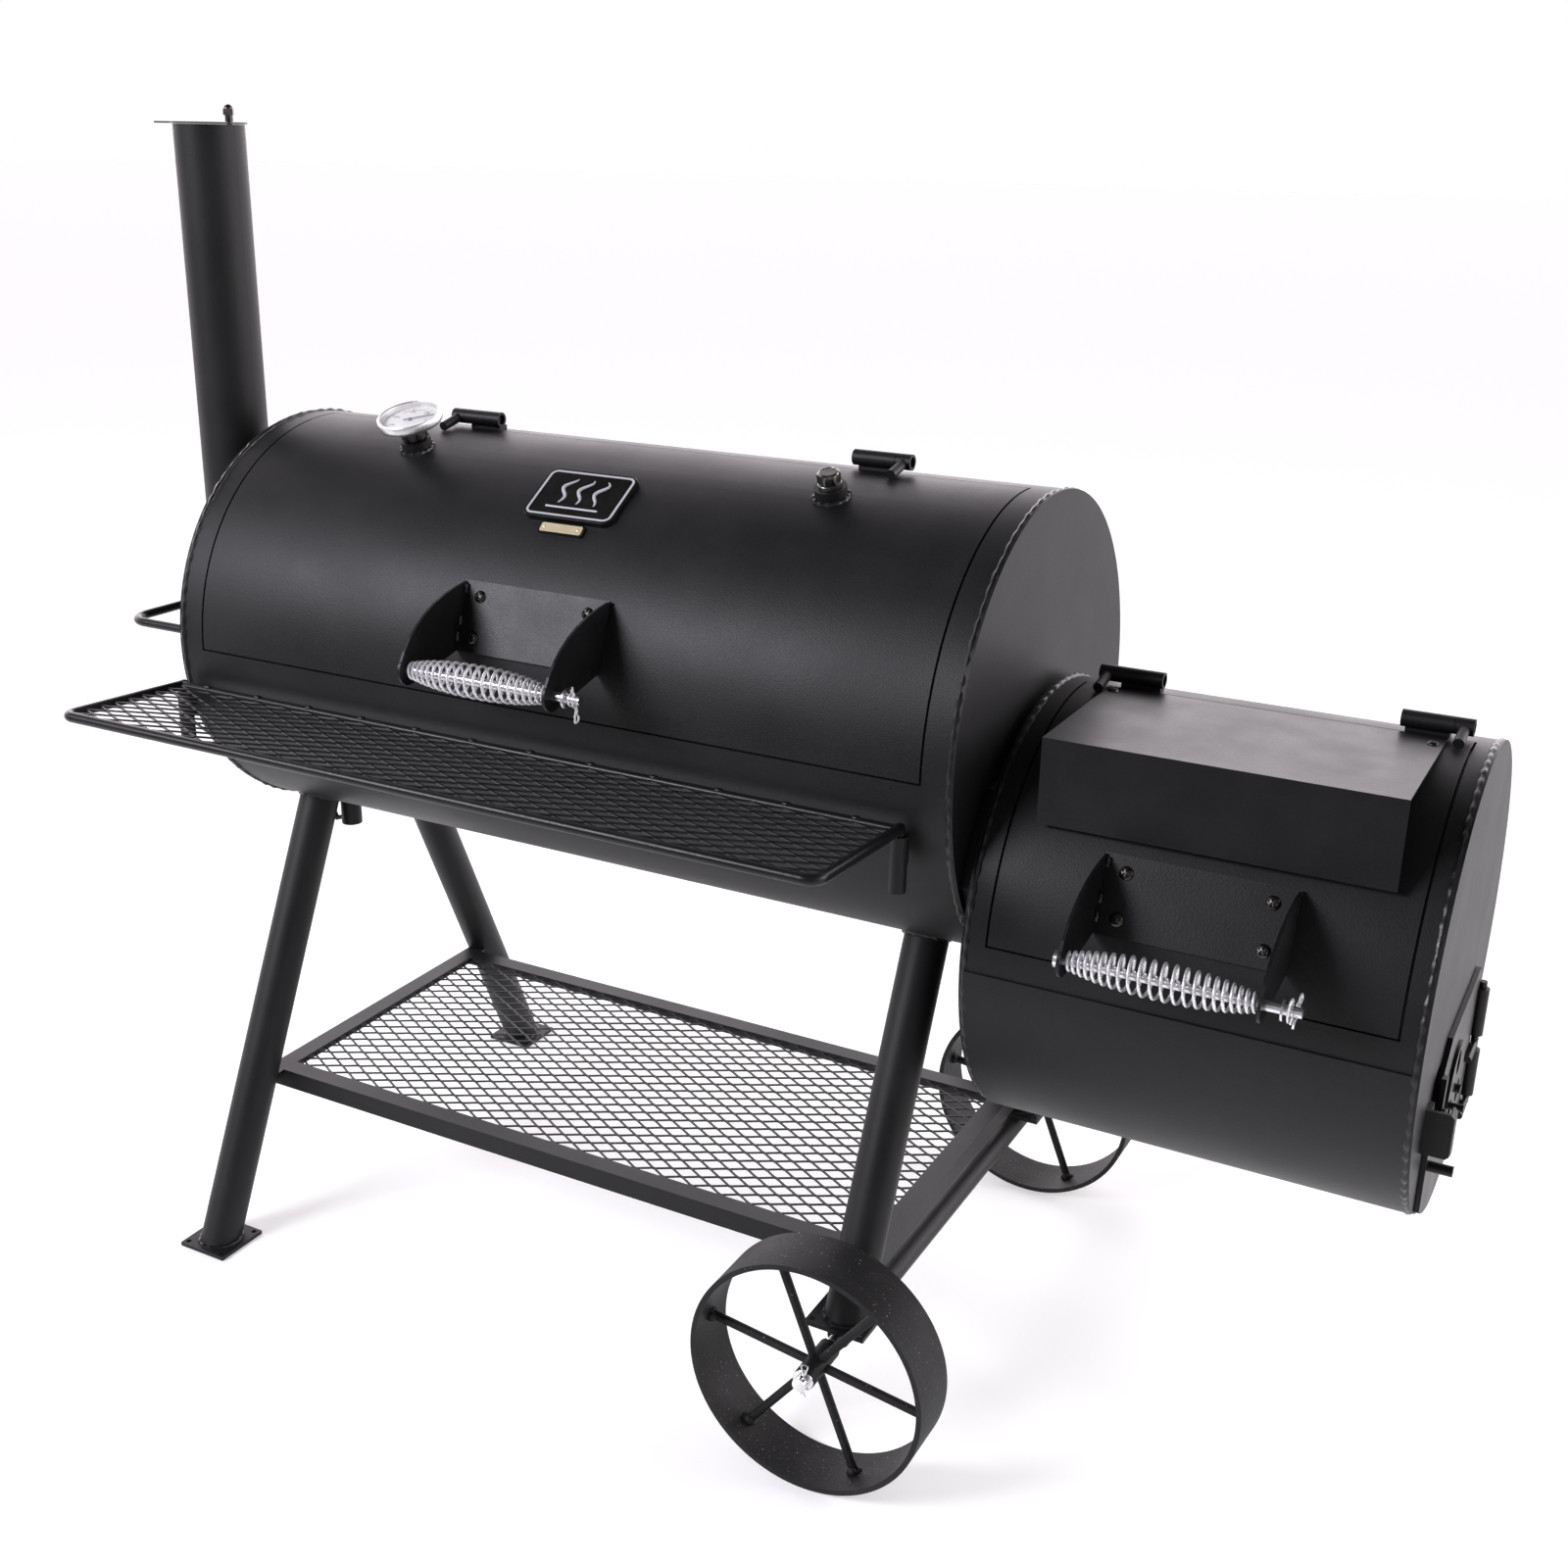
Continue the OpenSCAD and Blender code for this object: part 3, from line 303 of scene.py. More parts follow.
def noise(tree, place, scale, detail, roughness=0.55):
    """Noise in object space at a scale per metre."""
    made = node(tree, "TexNoise", Detail=detail, Roughness=roughness)
    if isinstance(scale, (int, float)):
        made.inputs["Scale"].default_value = scale
    else:
        tree.links.new(scale, made.inputs["Scale"])
    tree.links.new(place, made.inputs["Vector"])
    return made.outputs["Fac"]


def ranged(tree, value, low, high, to_low=0.0, to_high=1.0):
    """A value carried from one range to another, clamped."""
    made = tree.nodes.new("ShaderNodeMapRange")
    for k, v in enumerate((value, low, high, to_low, to_high)):
        if isinstance(v, (int, float)):
            made.inputs[k].default_value = v
        else:
            tree.links.new(v, made.inputs[k])
    return made.outputs["Result"]


def mixed(tree, factor, a, b):
    """Colour between a and b; each is a colour or a socket."""
    made = tree.nodes.new("ShaderNodeMix")
    made.data_type = "RGBA"
    for socket, value in ((made.inputs[0], factor), (made.inputs[6], a), (made.inputs[7], b)):
        if isinstance(value, (tuple, float)):
            socket.default_value = value
        else:
            tree.links.new(value, socket)
    return made.outputs[2]


def math_node(tree, operation, a, b):
    """One arithmetic step."""
    made = tree.nodes.new("ShaderNodeMath")
    made.operation = operation
    for k, v in enumerate((a, b)):
        if isinstance(v, (int, float)):
            made.inputs[k].default_value = v
        else:
            tree.links.new(v, made.inputs[k])
    return made.outputs[0]


def grain_group():
    """Fine relief of sprayed paint with slow patches: Patch and Grain run from 0 to 1."""
    def fill(group, given, place):
        fine = noise(group, place, given["Grain Scale"], 3.0, 0.6)
        slow = noise(group, place, given["Patch Scale"], 4.0)
        return ranged(group, fine, 0.3, 0.7), ranged(group, slow, 0.35, 0.65)

    return shared_group("sprayed grain", {"Grain Scale": 500.0, "Patch Scale": 7.0}, ("Grain", "Patch"), fill)


def dust_group():
    """Pale dust: sparse specks and a thin film that both gather on faces that look up."""
    def fill(group, given, place):
        split = group.nodes.new("ShaderNodeSeparateXYZ")
        group.links.new(group.nodes.new("ShaderNodeNewGeometry").outputs["Normal"], split.inputs[0])
        upward = ranged(group, split.outputs["Z"], -0.4, 1.0, 0.25, 1.0)
        cloud = ranged(group, noise(group, place, 22.0, 5.0), 0.42, 0.7)
        dots = ranged(group, noise(group, place, 420.0, 2.0), 0.69, 0.76)
        film = math_node(group, "MULTIPLY", cloud, given["Film"])
        speck = math_node(group, "MULTIPLY", dots, given["Specks"])
        return (math_node(group, "MULTIPLY", math_node(group, "ADD", film, speck), upward),)

    return shared_group("settled dust", {"Film": 0.1, "Specks": 0.5}, ("Mask",), fill)


def metal_group():
    """Handling marks on bare metal: fine lines along X and soft blotches, both from 0 to 1."""
    def fill(group, given, place):
        stretch = node(group, "Mapping", Scale=(0.08, 1.0, 1.0))
        group.links.new(place, stretch.inputs["Vector"])
        lines = noise(group, stretch.outputs["Vector"], given["Line Scale"], 2.0)
        blotch = noise(group, place, 60.0, 3.0)
        return ranged(group, lines, 0.3, 0.7), ranged(group, blotch, 0.3, 0.7)

    return shared_group("handled metal", {"Line Scale": 900.0}, ("Lines", "Blotch"), fill)


def start_material(name, **constants):
    """A material with its shader; constants go on the shader's own sockets."""
    material = bpy.data.materials.new(name)
    material.use_nodes = True
    tree = material.node_tree
    shader = tree.nodes["Principled BSDF"]
    for label, value in constants.items():
        shader.inputs[label].default_value = value
    return material, tree, shader


def colour(values):
    """RGB as RGBA."""
    return (values[0], values[1], values[2], 1.0)


def painted(name, base, light, rough, relief, grain=500.0, patch=7.0, film=0.0, specks=0.0,
            dust=(0.32, 0.30, 0.27), specular=0.27):
    """Sprayed paint: colour between base and light by grain and patch, roughness varied, fine bump."""
    material, tree, shader = start_material(name, **{"Metallic": 0.0, "Specular IOR Level": specular})
    texture = node(tree, "Group", node_tree=grain_group())
    texture.inputs["Grain Scale"].default_value = grain
    texture.inputs["Patch Scale"].default_value = patch
    blend = math_node(tree, "ADD", math_node(tree, "MULTIPLY", texture.outputs["Grain"], 0.45),
                      math_node(tree, "MULTIPLY", texture.outputs["Patch"], 0.55))
    tone = mixed(tree, blend, colour(base), colour(light))
    if film or specks:
        settled = node(tree, "Group", node_tree=dust_group())
        settled.inputs["Film"].default_value = film
        settled.inputs["Specks"].default_value = specks
        tone = mixed(tree, settled.outputs["Mask"], tone, colour(dust))
    tree.links.new(tone, shader.inputs["Base Color"])
    spread = ranged(tree, blend, 0.0, 1.0, rough - 0.05, rough + 0.06)
    tree.links.new(spread, shader.inputs["Roughness"])
    bump = node(tree, "Bump", Strength=relief, Distance=0.3 * MM)
    tree.links.new(texture.outputs["Grain"], bump.inputs["Height"])
    tree.links.new(bump.outputs["Normal"], shader.inputs["Normal"])
    return material


def bare_metal(name, dark, bright, rough, lines=900.0, relief=0.12, metallic=1.0):
    """Bare or plated metal: colour by blotches, roughness by lines, very fine bump."""
    material, tree, shader = start_material(name, Metallic=metallic)
    marks = node(tree, "Group", node_tree=metal_group())
    marks.inputs["Line Scale"].default_value = lines
    tree.links.new(mixed(tree, marks.outputs["Blotch"], colour(dark), colour(bright)),
                   shader.inputs["Base Color"])
    tree.links.new(ranged(tree, marks.outputs["Lines"], 0.0, 1.0, rough - 0.06, rough + 0.08),
                   shader.inputs["Roughness"])
    bump = node(tree, "Bump", Strength=relief, Distance=0.05 * MM)
    tree.links.new(marks.outputs["Lines"], bump.inputs["Height"])
    tree.links.new(bump.outputs["Normal"], shader.inputs["Normal"])
    return material


def clear_glass(name):
    """A thin clear window: mostly see-through, with smears in its roughness."""
    material, tree, shader = start_material(name, **{"Metallic": 0.0, "Alpha": 0.07, "IOR": 1.45})
    texture = node(tree, "Group", node_tree=grain_group())
    texture.inputs["Patch Scale"].default_value = 40.0
    tree.links.new(ranged(tree, texture.outputs["Patch"], 0.0, 1.0, 0.12, 0.16), shader.inputs["Roughness"])
    tree.links.new(mixed(tree, texture.outputs["Patch"], (0.86, 0.88, 0.88, 1.0), (0.92, 0.92, 0.92, 1.0)),
                   shader.inputs["Base Color"])
    return material


def finish(name):
    """The material of that name, made when first asked for."""
    if name in bpy.data.materials:
        return bpy.data.materials[name]
    look = bpy.context.scene.smoker_paint
    black = tuple(look.black)
    lift = tuple(look.black_light)
    soot = tuple(0.6 * c for c in black)
    recipes = {
        "barrel paint": lambda: painted(name, black, lift, look.roughness, 0.28, film=0.012, specks=0.03),
        "folded sheet paint": lambda: painted(name, black, lift, look.roughness - 0.08, 0.2, grain=420.0,
                                              patch=16.0),
        "rod paint": lambda: painted(name, black, lift, look.roughness - 0.14, 0.15, grain=420.0, patch=16.0),
        "wheel paint": lambda: painted(name, black, lift, 0.6, 0.5, grain=260.0, patch=14.0,
                                       film=look.wheel_dust, specks=1.6),
        "weld paint": lambda: painted(name, black, lift, look.roughness - 0.16, 0.4, grain=240.0, patch=30.0,
                                      specular=0.4),
        "mesh paint": lambda: painted(name, black, lift, look.roughness - 0.02, 0.2, grain=380.0, patch=20.0),
        "seasoned iron": lambda: painted(name, soot, (0.05, 0.042, 0.035), 0.5, 0.6, grain=300.0, patch=25.0),
        "black enamel": lambda: painted(name, (0.004, 0.004, 0.004), (0.008, 0.008, 0.008), 0.22, 0.04,
                                        grain=200.0, patch=30.0),
        "dial white": lambda: painted(name, (0.86, 0.86, 0.85), (0.93, 0.93, 0.92), 0.4, 0.03, grain=300.0,
                                      patch=60.0),
        "dial ink": lambda: painted(name, (0.16, 0.16, 0.165), (0.22, 0.22, 0.22), 0.5, 0.03, patch=60.0),
        "dial red": lambda: painted(name, (0.35, 0.02, 0.015), (0.45, 0.03, 0.02), 0.5, 0.03, patch=60.0),
        "black oxide": lambda: bare_metal(name, (0.035, 0.033, 0.032), (0.09, 0.085, 0.08), 0.3),
        "aged nickel": lambda: bare_metal(name, (0.12, 0.12, 0.11), (0.26, 0.26, 0.24), 0.24, relief=0.03),
        "bright zinc": lambda: bare_metal(name, (0.62, 0.62, 0.63), (0.9, 0.9, 0.92), 0.2),
        "spring nickel": lambda: bare_metal(name, (0.86, 0.86, 0.87), (0.98, 0.98, 0.99), 0.26,
                                            metallic=0.65),
        "turned stainless": lambda: bare_metal(name, (0.86, 0.86, 0.86), (0.92, 0.92, 0.92), 0.32,
                                               relief=0.0),
        "border paint": lambda: painted(name, (0.46, 0.47, 0.5), (0.56, 0.57, 0.6), 0.4, 0.05, grain=300.0),
        "tag brass": lambda: bare_metal(name, (0.84, 0.7, 0.44), (0.95, 0.84, 0.6), 0.36, relief=0.03,
                                        metallic=0.6),
        "gauge glass": lambda: clear_glass(name),
    }
    return recipes[name]()


NODE_FINISHES = {
    "folded sheet paint": ("main_handle_bracket", "firebox_handle_bracket", "heat_shield", "firebox_door",
                           "door_damper"),
    "rod paint": ("front_shelf", "push_handle"),
    "wheel paint": ("front_wheel", "back_wheel"),
    "seasoned iron": ("cooking_grate_1", "cooking_grate_2", "cooking_grate_3", "charcoal_grate",
                      "grate_ledges", "lid_rest_strips"),
    "black oxide": ("lid_hinge_pins", "stack_damper_bolt"),
    "bright zinc": ("main_handle_rod", "firebox_handle_rod", "axle"),
    "dial white": ("thermometer_dial",),
    "dial ink": ("thermometer_pointer",),
}


# --- settings -------------------------------------------------------------------------------
def metres(name, description, default):
    """A length, set in metres."""
    return bpy.props.FloatProperty(name=name, description=description, default=default, unit="LENGTH")


def degrees(name, description, default):
    """An angle whose default is given in degrees."""
    return bpy.props.FloatProperty(name=name, description=description, default=math.radians(default),
                                   subtype="ANGLE")


def share(name, description, default):
    """A share from 0 to 1."""
    return bpy.props.FloatProperty(name=name, description=description, default=default, min=0, max=1,
                                   subtype="FACTOR")


def shade(name, description, default):
    """A colour."""
    return bpy.props.FloatVectorProperty(name=name, description=description, default=default, min=0, max=1,
                                         subtype="COLOR")


def whole(name, description, default):
    """A whole number of turns."""
    return bpy.props.IntProperty(name=name, description=description, default=default, min=8, max=40)


class SmokerPaint(bpy.types.PropertyGroup):
    """Colours and sheen of the paint."""

    black: shade("Black", "Darkest tone of the paint", (0.0042, 0.0041, 0.0046))
    black_light: shade("Lighter black", "Lightest tone of the paint", (0.0092, 0.0089, 0.0098))
    roughness: share("Roughness", "Roughness of the satin paint", 0.47)
    wheel_dust: share("Wheel dust", "Film of dust on the wheels", 0.035)


class SmokerHardware(bpy.types.PropertyGroup):
    """Sizes of the small parts."""

    wire: metres("Spring wire", "Radius of the spring wire", 1.6 * MM)
    turns: whole("Turns, main", "Turns of the main handle's spring", 20)
    box_turns: whole("Turns, firebox", "Turns of the firebox handle's spring", 22)
    bead: metres("Weld bead", "Radius of the weld beads", 3.0 * MM)
    diamond_long: metres("Diamond, long way", "Long way of the expanded metal", 40 * MM)
    diamond_short: metres("Diamond, short way", "Short way of the expanded metal", 21.5 * MM)
    strand: metres("Strand", "Width of a strand of the expanded metal", 2.6 * MM)


class SmokerView(bpy.types.PropertyGroup):
    """Where the camera stands."""

    azimuth: degrees("Azimuth", "Turn of the view to the right", 27.675)
    elevation: degrees("Elevation", "Height of the view", 19.653)
    roll: degrees("Roll", "Roll of the camera", 1.096)
    distance: metres("Distance", "Camera to the point it looks at", 2.1445)
    aim: bpy.props.FloatVectorProperty(name="Aim", description="Point looked at, from the barrel's right end",
                                       default=(-0.3125, -0.0143, -0.1233), subtype="TRANSLATION")
    lens: bpy.props.FloatProperty(name="Lens", description="Focal length in millimetres", default=41.55)


# --- operators ------------------------------------------------------------------------------
class SMOKER_OT_stage(bpy.types.Operator):
    """Camera, floor, world and soft lights"""

    bl_idname = "smoker.stage"
    bl_label = "Stage"

    def execute(self, context):
        view = context.scene.smoker_view
        end = Vector((BARREL_RIGHT, MID_Y, BARREL_Z))
        flat = math.cos(view.elevation)
        back = Vector((math.sin(view.azimuth) * flat, -math.cos(view.azimuth) * flat,
                       math.sin(view.elevation)))
        right = Vector((0, 0, 1)).cross(back).normalized()
        up = back.cross(right)
        turn = Matrix((right, up, back)).transposed() @ Matrix.Rotation(view.roll, 3, "Z")
        data = bpy.data.cameras.new("view")
        data.lens = view.lens
        data.sensor_width = 36
        data.clip_end = 200
        camera = bpy.data.objects.new("view", data)
        context.scene.collection.objects.link(camera)
        place = end + Vector(view.aim) + back * view.distance
        camera.matrix_world = Matrix.Translation(place) @ turn.to_4x4()
        context.scene.camera = camera
        self.floor()
        self.world(context)
        self.light("key", (-2.6, -3.6, 3.0), (-0.2, 0.0, 0.8), (2.2, 1.3), 220, (0.93, 0.92, 1.0))
        self.light("side", (4.2, 1.2, 2.2), (0.5, 0.0, 0.7), (1.6, 2.4), 50, (1.0, 1.0, 1.0))
        context.scene.view_settings.view_transform = "Standard"
        return {"FINISHED"}

    def floor(self):
        """A pale, faintly lit floor, far wider than the object; it ends in front, where the room is dark."""
        half = 60.0
        mesh = bpy.data.meshes.new("floor")
        front = -1.5
        ring = [(-half, front, 0), (half, front, 0), (half, half, 0), (-half, half, 0)]
        mesh.from_pydata(ring, [], [(0, 1, 2, 3)])
        glow = {"Specular IOR Level": 0.1, "Emission Color": (1.0, 1.0, 1.0, 1.0), "Emission Strength": 0.34}
        material, tree, shader = start_material("pale floor", **glow)
        shader.inputs["Roughness"].default_value = 0.9
        shader.inputs["Base Color"].default_value = (0.86, 0.86, 0.86, 1.0)
        mesh.materials.append(material)
        floor = bpy.data.objects.new("floor", mesh)
        floor.location.z = -0.0005
        bpy.context.scene.collection.objects.link(floor)

    def world(self, context):
        """A bright low backdrop behind the object, dim overhead and in front, plain white to the camera."""
        world = bpy.data.worlds.new("studio")
        world.use_nodes = True
        context.scene.world = world
        tree = world.node_tree
        background = tree.nodes["Background"]
        place = tree.nodes.new("ShaderNodeTexCoord").outputs["Generated"]
        split = tree.nodes.new("ShaderNodeSeparateXYZ")
        tree.links.new(place, split.inputs[0])
        low = ranged(tree, split.outputs["Z"], 0.75, 0.35)
        behind = ranged(tree, split.outputs["Y"], -0.5, 0.4, 0.08, 1.0)
        backdrop = math_node(tree, "MULTIPLY", low, behind)
        soft = mixed(tree, backdrop, (0.07, 0.07, 0.075, 1.0), (3.7, 3.45, 3.64, 1.0))
        seen = tree.nodes.new("ShaderNodeLightPath").outputs["Is Camera Ray"]
        tree.links.new(mixed(tree, seen, soft, (1.0, 1.0, 1.0, 1.0)), background.inputs["Color"])
        background.inputs["Strength"].default_value = 1.0

    def light(self, name, place, aim, size, power, tint):
        """A rectangular softbox that faces its aim."""
        data = bpy.data.lights.new(name, "AREA")
        data.shape = "RECTANGLE"
        data.size, data.size_y = size
        data.energy = power
        data.color = tint
        lamp = bpy.data.objects.new(name, data)
        lamp.location = place
        lamp.rotation_euler = (Vector(aim) - Vector(place)).to_track_quat("-Z", "Y").to_euler()
        bpy.context.scene.collection.objects.link(lamp)


class SMOKER_OT_finishes(bpy.types.Operator):
    """Finishes of the parts that keep the model's own shape"""

    bl_idname = "smoker.finishes"
    bl_label = "Paint"

    def execute(self, context):
        chosen = {part: name for name, parts in NODE_FINISHES.items() for part in parts}
        for part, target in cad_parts.items():
            material = finish(chosen.get(part, "barrel paint"))
            if not target.material_slots:
                target.data.materials.append(material)
            for place in target.material_slots:
                place.material = material
        return {"FINISHED"}


def coil(part, turns, wire):
    """A helix along a node's box: its radius swells as half a sine, and its end turns lie closer."""
    low, high = corners(part)
    centre = middle(part)
    outer = 1.26 * (high[2] - low[2]) / 2
    narrow = 0.5 * outer
    t = np.linspace(0, 1, turns * 22 + 1)
    r = narrow + (outer - narrow) * np.sin(math.pi * t) - wire
    along = t - 0.045 * np.sin(2 * math.pi * t)
    turn = 2 * math.pi * turns * t
    x = low[0] + wire + (high[0] - low[0] - 2 * wire) * along
    path = np.stack([x, centre[1] + r * np.cos(turn), centre[2] + r * np.sin(turn)], -1)
    return sweep(path, wire, 8, (1, 0, 0))


class SMOKER_OT_springs(bpy.types.Operator):
    """Coil springs that keep the two handles cool"""

    bl_idname = "smoker.springs"
    bl_label = "Springs"

    def execute(self, context):
        sizes = context.scene.smoker_hardware
        for (which, body, *_), turns in zip(HANDLES, (sizes.turns, sizes.box_turns)):
            part = which + "_handle_spring"
            add_piece(which + "_coil_spring", [coil(part, turns, sizes.wire)], body, "spring nickel",
                      "spring_chrome", part)
        return {"FINISHED"}


def expanded_metal(origin, along, across, normal, length, depth, sizes, corner=0.0):
    """Zigzag strands that meet at every other bend.

    Strand k runs at y = (k + (j + k) mod 2) half short ways at its bend j, and leans up by a rise there.
    Points beyond the round front corners are drawn in to the corner's arc.
    """
    bends = round(2 * length / sizes.diamond_long)
    strands = round(2 * depth / sizes.diamond_short)
    j = np.arange(bends + 1)[None, :]
    k = np.arange(strands)[:, None]
    high = (j + k) % 2
    half_w = sizes.strand / 2
    x = length * j / bends + 0.0 * k
    y = half_w + (depth - 2 * half_w) * (k + high) / strands
    rise = (high - 0.5) * 0.9 * MM
    if corner:
        for side in (corner, length - corner):
            beyond = (x - side) * (1 if side > corner else -1) > 0
            reach = np.hypot(x - side, y - (depth - corner))
            outside = beyond & (y > depth - corner) & (reach > corner)
            scale = np.where(outside, corner / np.maximum(reach, MM), 1.0)
            x = side + (x - side) * scale
            y = depth - corner + (y - (depth - corner)) * scale
    half_t = 0.9 * MM
    offsets = np.array([(-half_w, -half_t), (half_w, -half_t), (half_w, half_t), (-half_w, half_t)])
    px = np.repeat(x[..., None], 4, -1)
    py = y[..., None] + offsets[:, 0]
    pz = rise[..., None] + offsets[:, 1]
    points = origin + px[..., None] * along + py[..., None] * across + pz[..., None] * normal
    return [closed_grid(strand) for strand in points]


def dab(centre, size, sides=10):
    """A ball of unit radius stretched to a size in millimetres and moved to a centre."""
    fall = np.linspace(0.15, math.pi - 0.15, 7)
    profile = np.stack([np.sin(fall), np.cos(fall)], -1)
    return turned(profile, lambda p: centre + p * np.array(size) * MM, sides)


class SMOKER_OT_shelf_metal(bpy.types.Operator):
    """Expanded metal of both shelves, and the tacks that hold it"""

    bl_idname = "smoker.shelf_metal"
    bl_label = "Shelf metal"

    def execute(self, context):
        sizes = context.scene.smoker_hardware
        low, high = corners("lower_shelf_mesh")
        origin = np.array([low[0], low[1], (low[2] + high[2]) / 2])
        axes = np.eye(3)
        parts = expanded_metal(origin, axes[0], axes[1], axes[2], high[0] - low[0], high[1] - low[1], sizes)
        add_piece("lower_expanded_metal", parts, "chassis", "mesh paint", "expanded_mesh", "lower_shelf_mesh")
        low, high = corners("front_shelf_mesh")
        thick = 3 * MM
        slope = np.array([0, low[1] - high[1], high[2] - low[2] - thick])
        depth = np.linalg.norm(slope)
        across = slope / depth
        normal = np.cross(across, axes[0])
        normal *= np.sign(normal[2])
        origin = np.array([low[0], high[1], low[2] + thick / 2]) + 1.5 * MM * normal
        parts = expanded_metal(origin, axes[0], across, normal, high[0] - low[0], depth, sizes, 8 * MM)
        add_piece("front_expanded_metal", parts, "shelf", "mesh paint", "expanded_mesh", "front_shelf_mesh")
        tacks = round((high[0] - low[0]) / (2 * sizes.diamond_long))
        places = low[0] + (np.arange(tacks) + 0.5) * (high[0] - low[0]) / tacks
        rail = np.array([0, high[1] + 4 * MM, low[2] + thick / 2 + 4.2 * MM])
        dabs = [dab(rail + np.array([x, 0, 0]), (6.0, 3.6, 2.4)) for x in places]
        add_piece("front_shelf_tacks", dabs, "shelf", "weld paint", "black_paint")
        return {"FINISHED"}

def bead_path(radius, steps):
    """Unit steps round a circle as cosine and sine."""
    turn = np.arange(steps) * 2 * math.pi / steps
    return radius * np.cos(turn), radius * np.sin(turn)


def weld(path, size, seed, reference, wrap=True, sides=8):
    """A bead along a path: its radius swells at each ripple and wanders a little."""
    draw = np.random.default_rng(seed)
    n = len(path)
    ripple = 1 + 0.2 * np.sin(np.arange(n) * 2 * math.pi / 5)
    wander = 1 + 0.3 * np.convolve(draw.standard_normal(n), np.ones(7) / 7, "same")
    return sweep(path, size * ripple * wander, sides, reference, wrap)


class SMOKER_OT_welds(bpy.types.Operator):
    """Weld beads round the caps, legs, feet, chimney, ports and wheel spokes"""

    bl_idname = "smoker.welds"
    bl_label = "Welds"

    def execute(self, context):
        size = context.scene.smoker_hardware.bead
        self.caps(size)
        self.legs(size)
        self.chimney(size)
        self.ports(size)
        self.wheels(size)
        self.brackets()
        return {"FINISHED"}

    def caps(self, size):
        """Circles where each cap meets its shell."""
        rows = ((BARREL_LEFT + CAP_T, BARREL_Z, BARREL_R), (BARREL_RIGHT - CAP_T, BARREL_Z, BARREL_R),
                (BOX_LEFT + CAP_T, BOX_Z, BOX_R), (BOX_RIGHT - CAP_T, BOX_Z, BOX_R))
        beads = []
        for k, (x, z, r) in enumerate(rows):
            c, s = bead_path(r - 0.4 * size, 420)
            path = np.stack([np.full_like(c, x), MID_Y + c, z + s], -1)
            beads.append(weld(path, 1.1 * size, 11 + k, (1, 0, 0)))
        add_piece("cap_welds", beads, "chassis", "weld paint", "black_paint")

    def legs(self, size):
        """Where a leg meets the barrel: points of the leg's pipe at the barrel's radius; and the feet."""
        top = math.radians(LEG_TOP)
        beads = []
        for k, part in enumerate(("front_left_leg", "back_left_leg", "front_right_leg", "back_right_leg")):
            low, high = corners(part)
            x = middle(part)[0]
            r = (high[0] - low[0]) / 2
            side = -1 if part.startswith("front") else 1
            foot = np.array([0, side * FOOT_Y, -BARREL_Z])
            head = np.array([0, side * BARREL_R * math.cos(top), -BARREL_R * math.sin(top)])
            axis = (head - foot) / np.linalg.norm(head - foot)
            across = np.cross(axis, (1, 0, 0))
            c, s = bead_path(r, 64)
            start = foot + s[:, None] * across
            a = axis[1] ** 2 + axis[2] ** 2
            b = start[:, 1] * axis[1] + start[:, 2] * axis[2]
            reach = start[:, 1] ** 2 + start[:, 2] ** 2 - BARREL_R**2
            run = (-b - np.sqrt(b * b - a * reach)) / a
            home = np.stack([x + c, 0 * c + MID_Y, 0 * c + BARREL_Z], -1)
            beads.append(weld(start + run[:, None] * axis + home, size, 31 + k, axis))
            run = (low[2] - BARREL_Z - start[:, 2]) / axis[2]
            beads.append(weld(start + run[:, None] * axis + home, 0.9 * size, 41 + k, (0, 0, 1)))
        add_piece("leg_welds", beads, "chassis", "weld paint", "black_paint")

    def chimney(self, size):
        """The mitre of the elbow, where height equals reach along X, and the pipe's joint with the cap."""
        low, high = corners("stack_pipe")
        r = (high[1] - low[1]) / 2
        x = low[0] + r
        z = low[2] + r
        c, s = bead_path(r, 90)
        mitre = weld(np.stack([x + c, MID_Y + s, z + c], -1), size, 51, (-1, 0, 1))
        c, s = bead_path(r + 0.3 * size, 90)
        joint = weld(np.stack([0 * c + BARREL_LEFT, MID_Y + c, z + s], -1), size, 52, (1, 0, 0))
        low, high = corners("push_handle")
        r = (high[2] - low[2]) / 2
        c, s = bead_path(r, 24)
        ends = [weld(np.stack([0 * c + BARREL_LEFT, y + c, (low[2] + high[2]) / 2 + s], -1), 0.7 * size,
                     53 + k, (1, 0, 0)) for k, y in enumerate((low[1] + r, high[1] - r))]
        add_piece("chimney_and_rail_welds", [mitre, joint, *ends], "chassis", "weld paint", "black_paint")

    def ports(self, size):
        """A circle round each port, which sags with the lid as the drum curves away."""
        beads = []
        for k, (part, angle) in enumerate((("port_plug", PLUG_ANGLE), ("thermometer_case", DIAL_ANGLE))):
            c, s = bead_path(18.6 * MM, 64)
            sag = np.sqrt(BARREL_R**2 - s**2) - BARREL_R
            path = placer(part, angle)(np.stack([c, s, sag], -1))
            axis = (0, -math.cos(math.radians(angle)), math.sin(math.radians(angle)))
            beads.append(weld(path, size, 61 + k, axis))
        add_piece("port_welds", beads, "lid", "weld paint", "black_paint")

    def brackets(self):
        """Three lumps inside the left side plate of each handle, in the corner of its back plate."""
        for which, body, axis_z, radius, angle in HANDLES:
            part = which + "_handle_bracket"
            low, high = corners(part)
            place = placer(part, angle, axis_z, radius)
            corner = 4.5 * MM
            spots = [np.array([corner - (high[0] - low[0]) / 2, up * MM, corner]) for up in (30, -6, -24)]
            beads = [dab(place(spot), (3.0, 3.5, 6.5)) for spot in spots]
            add_piece(which + "_bracket_welds", beads, body, "weld paint", "black_paint")

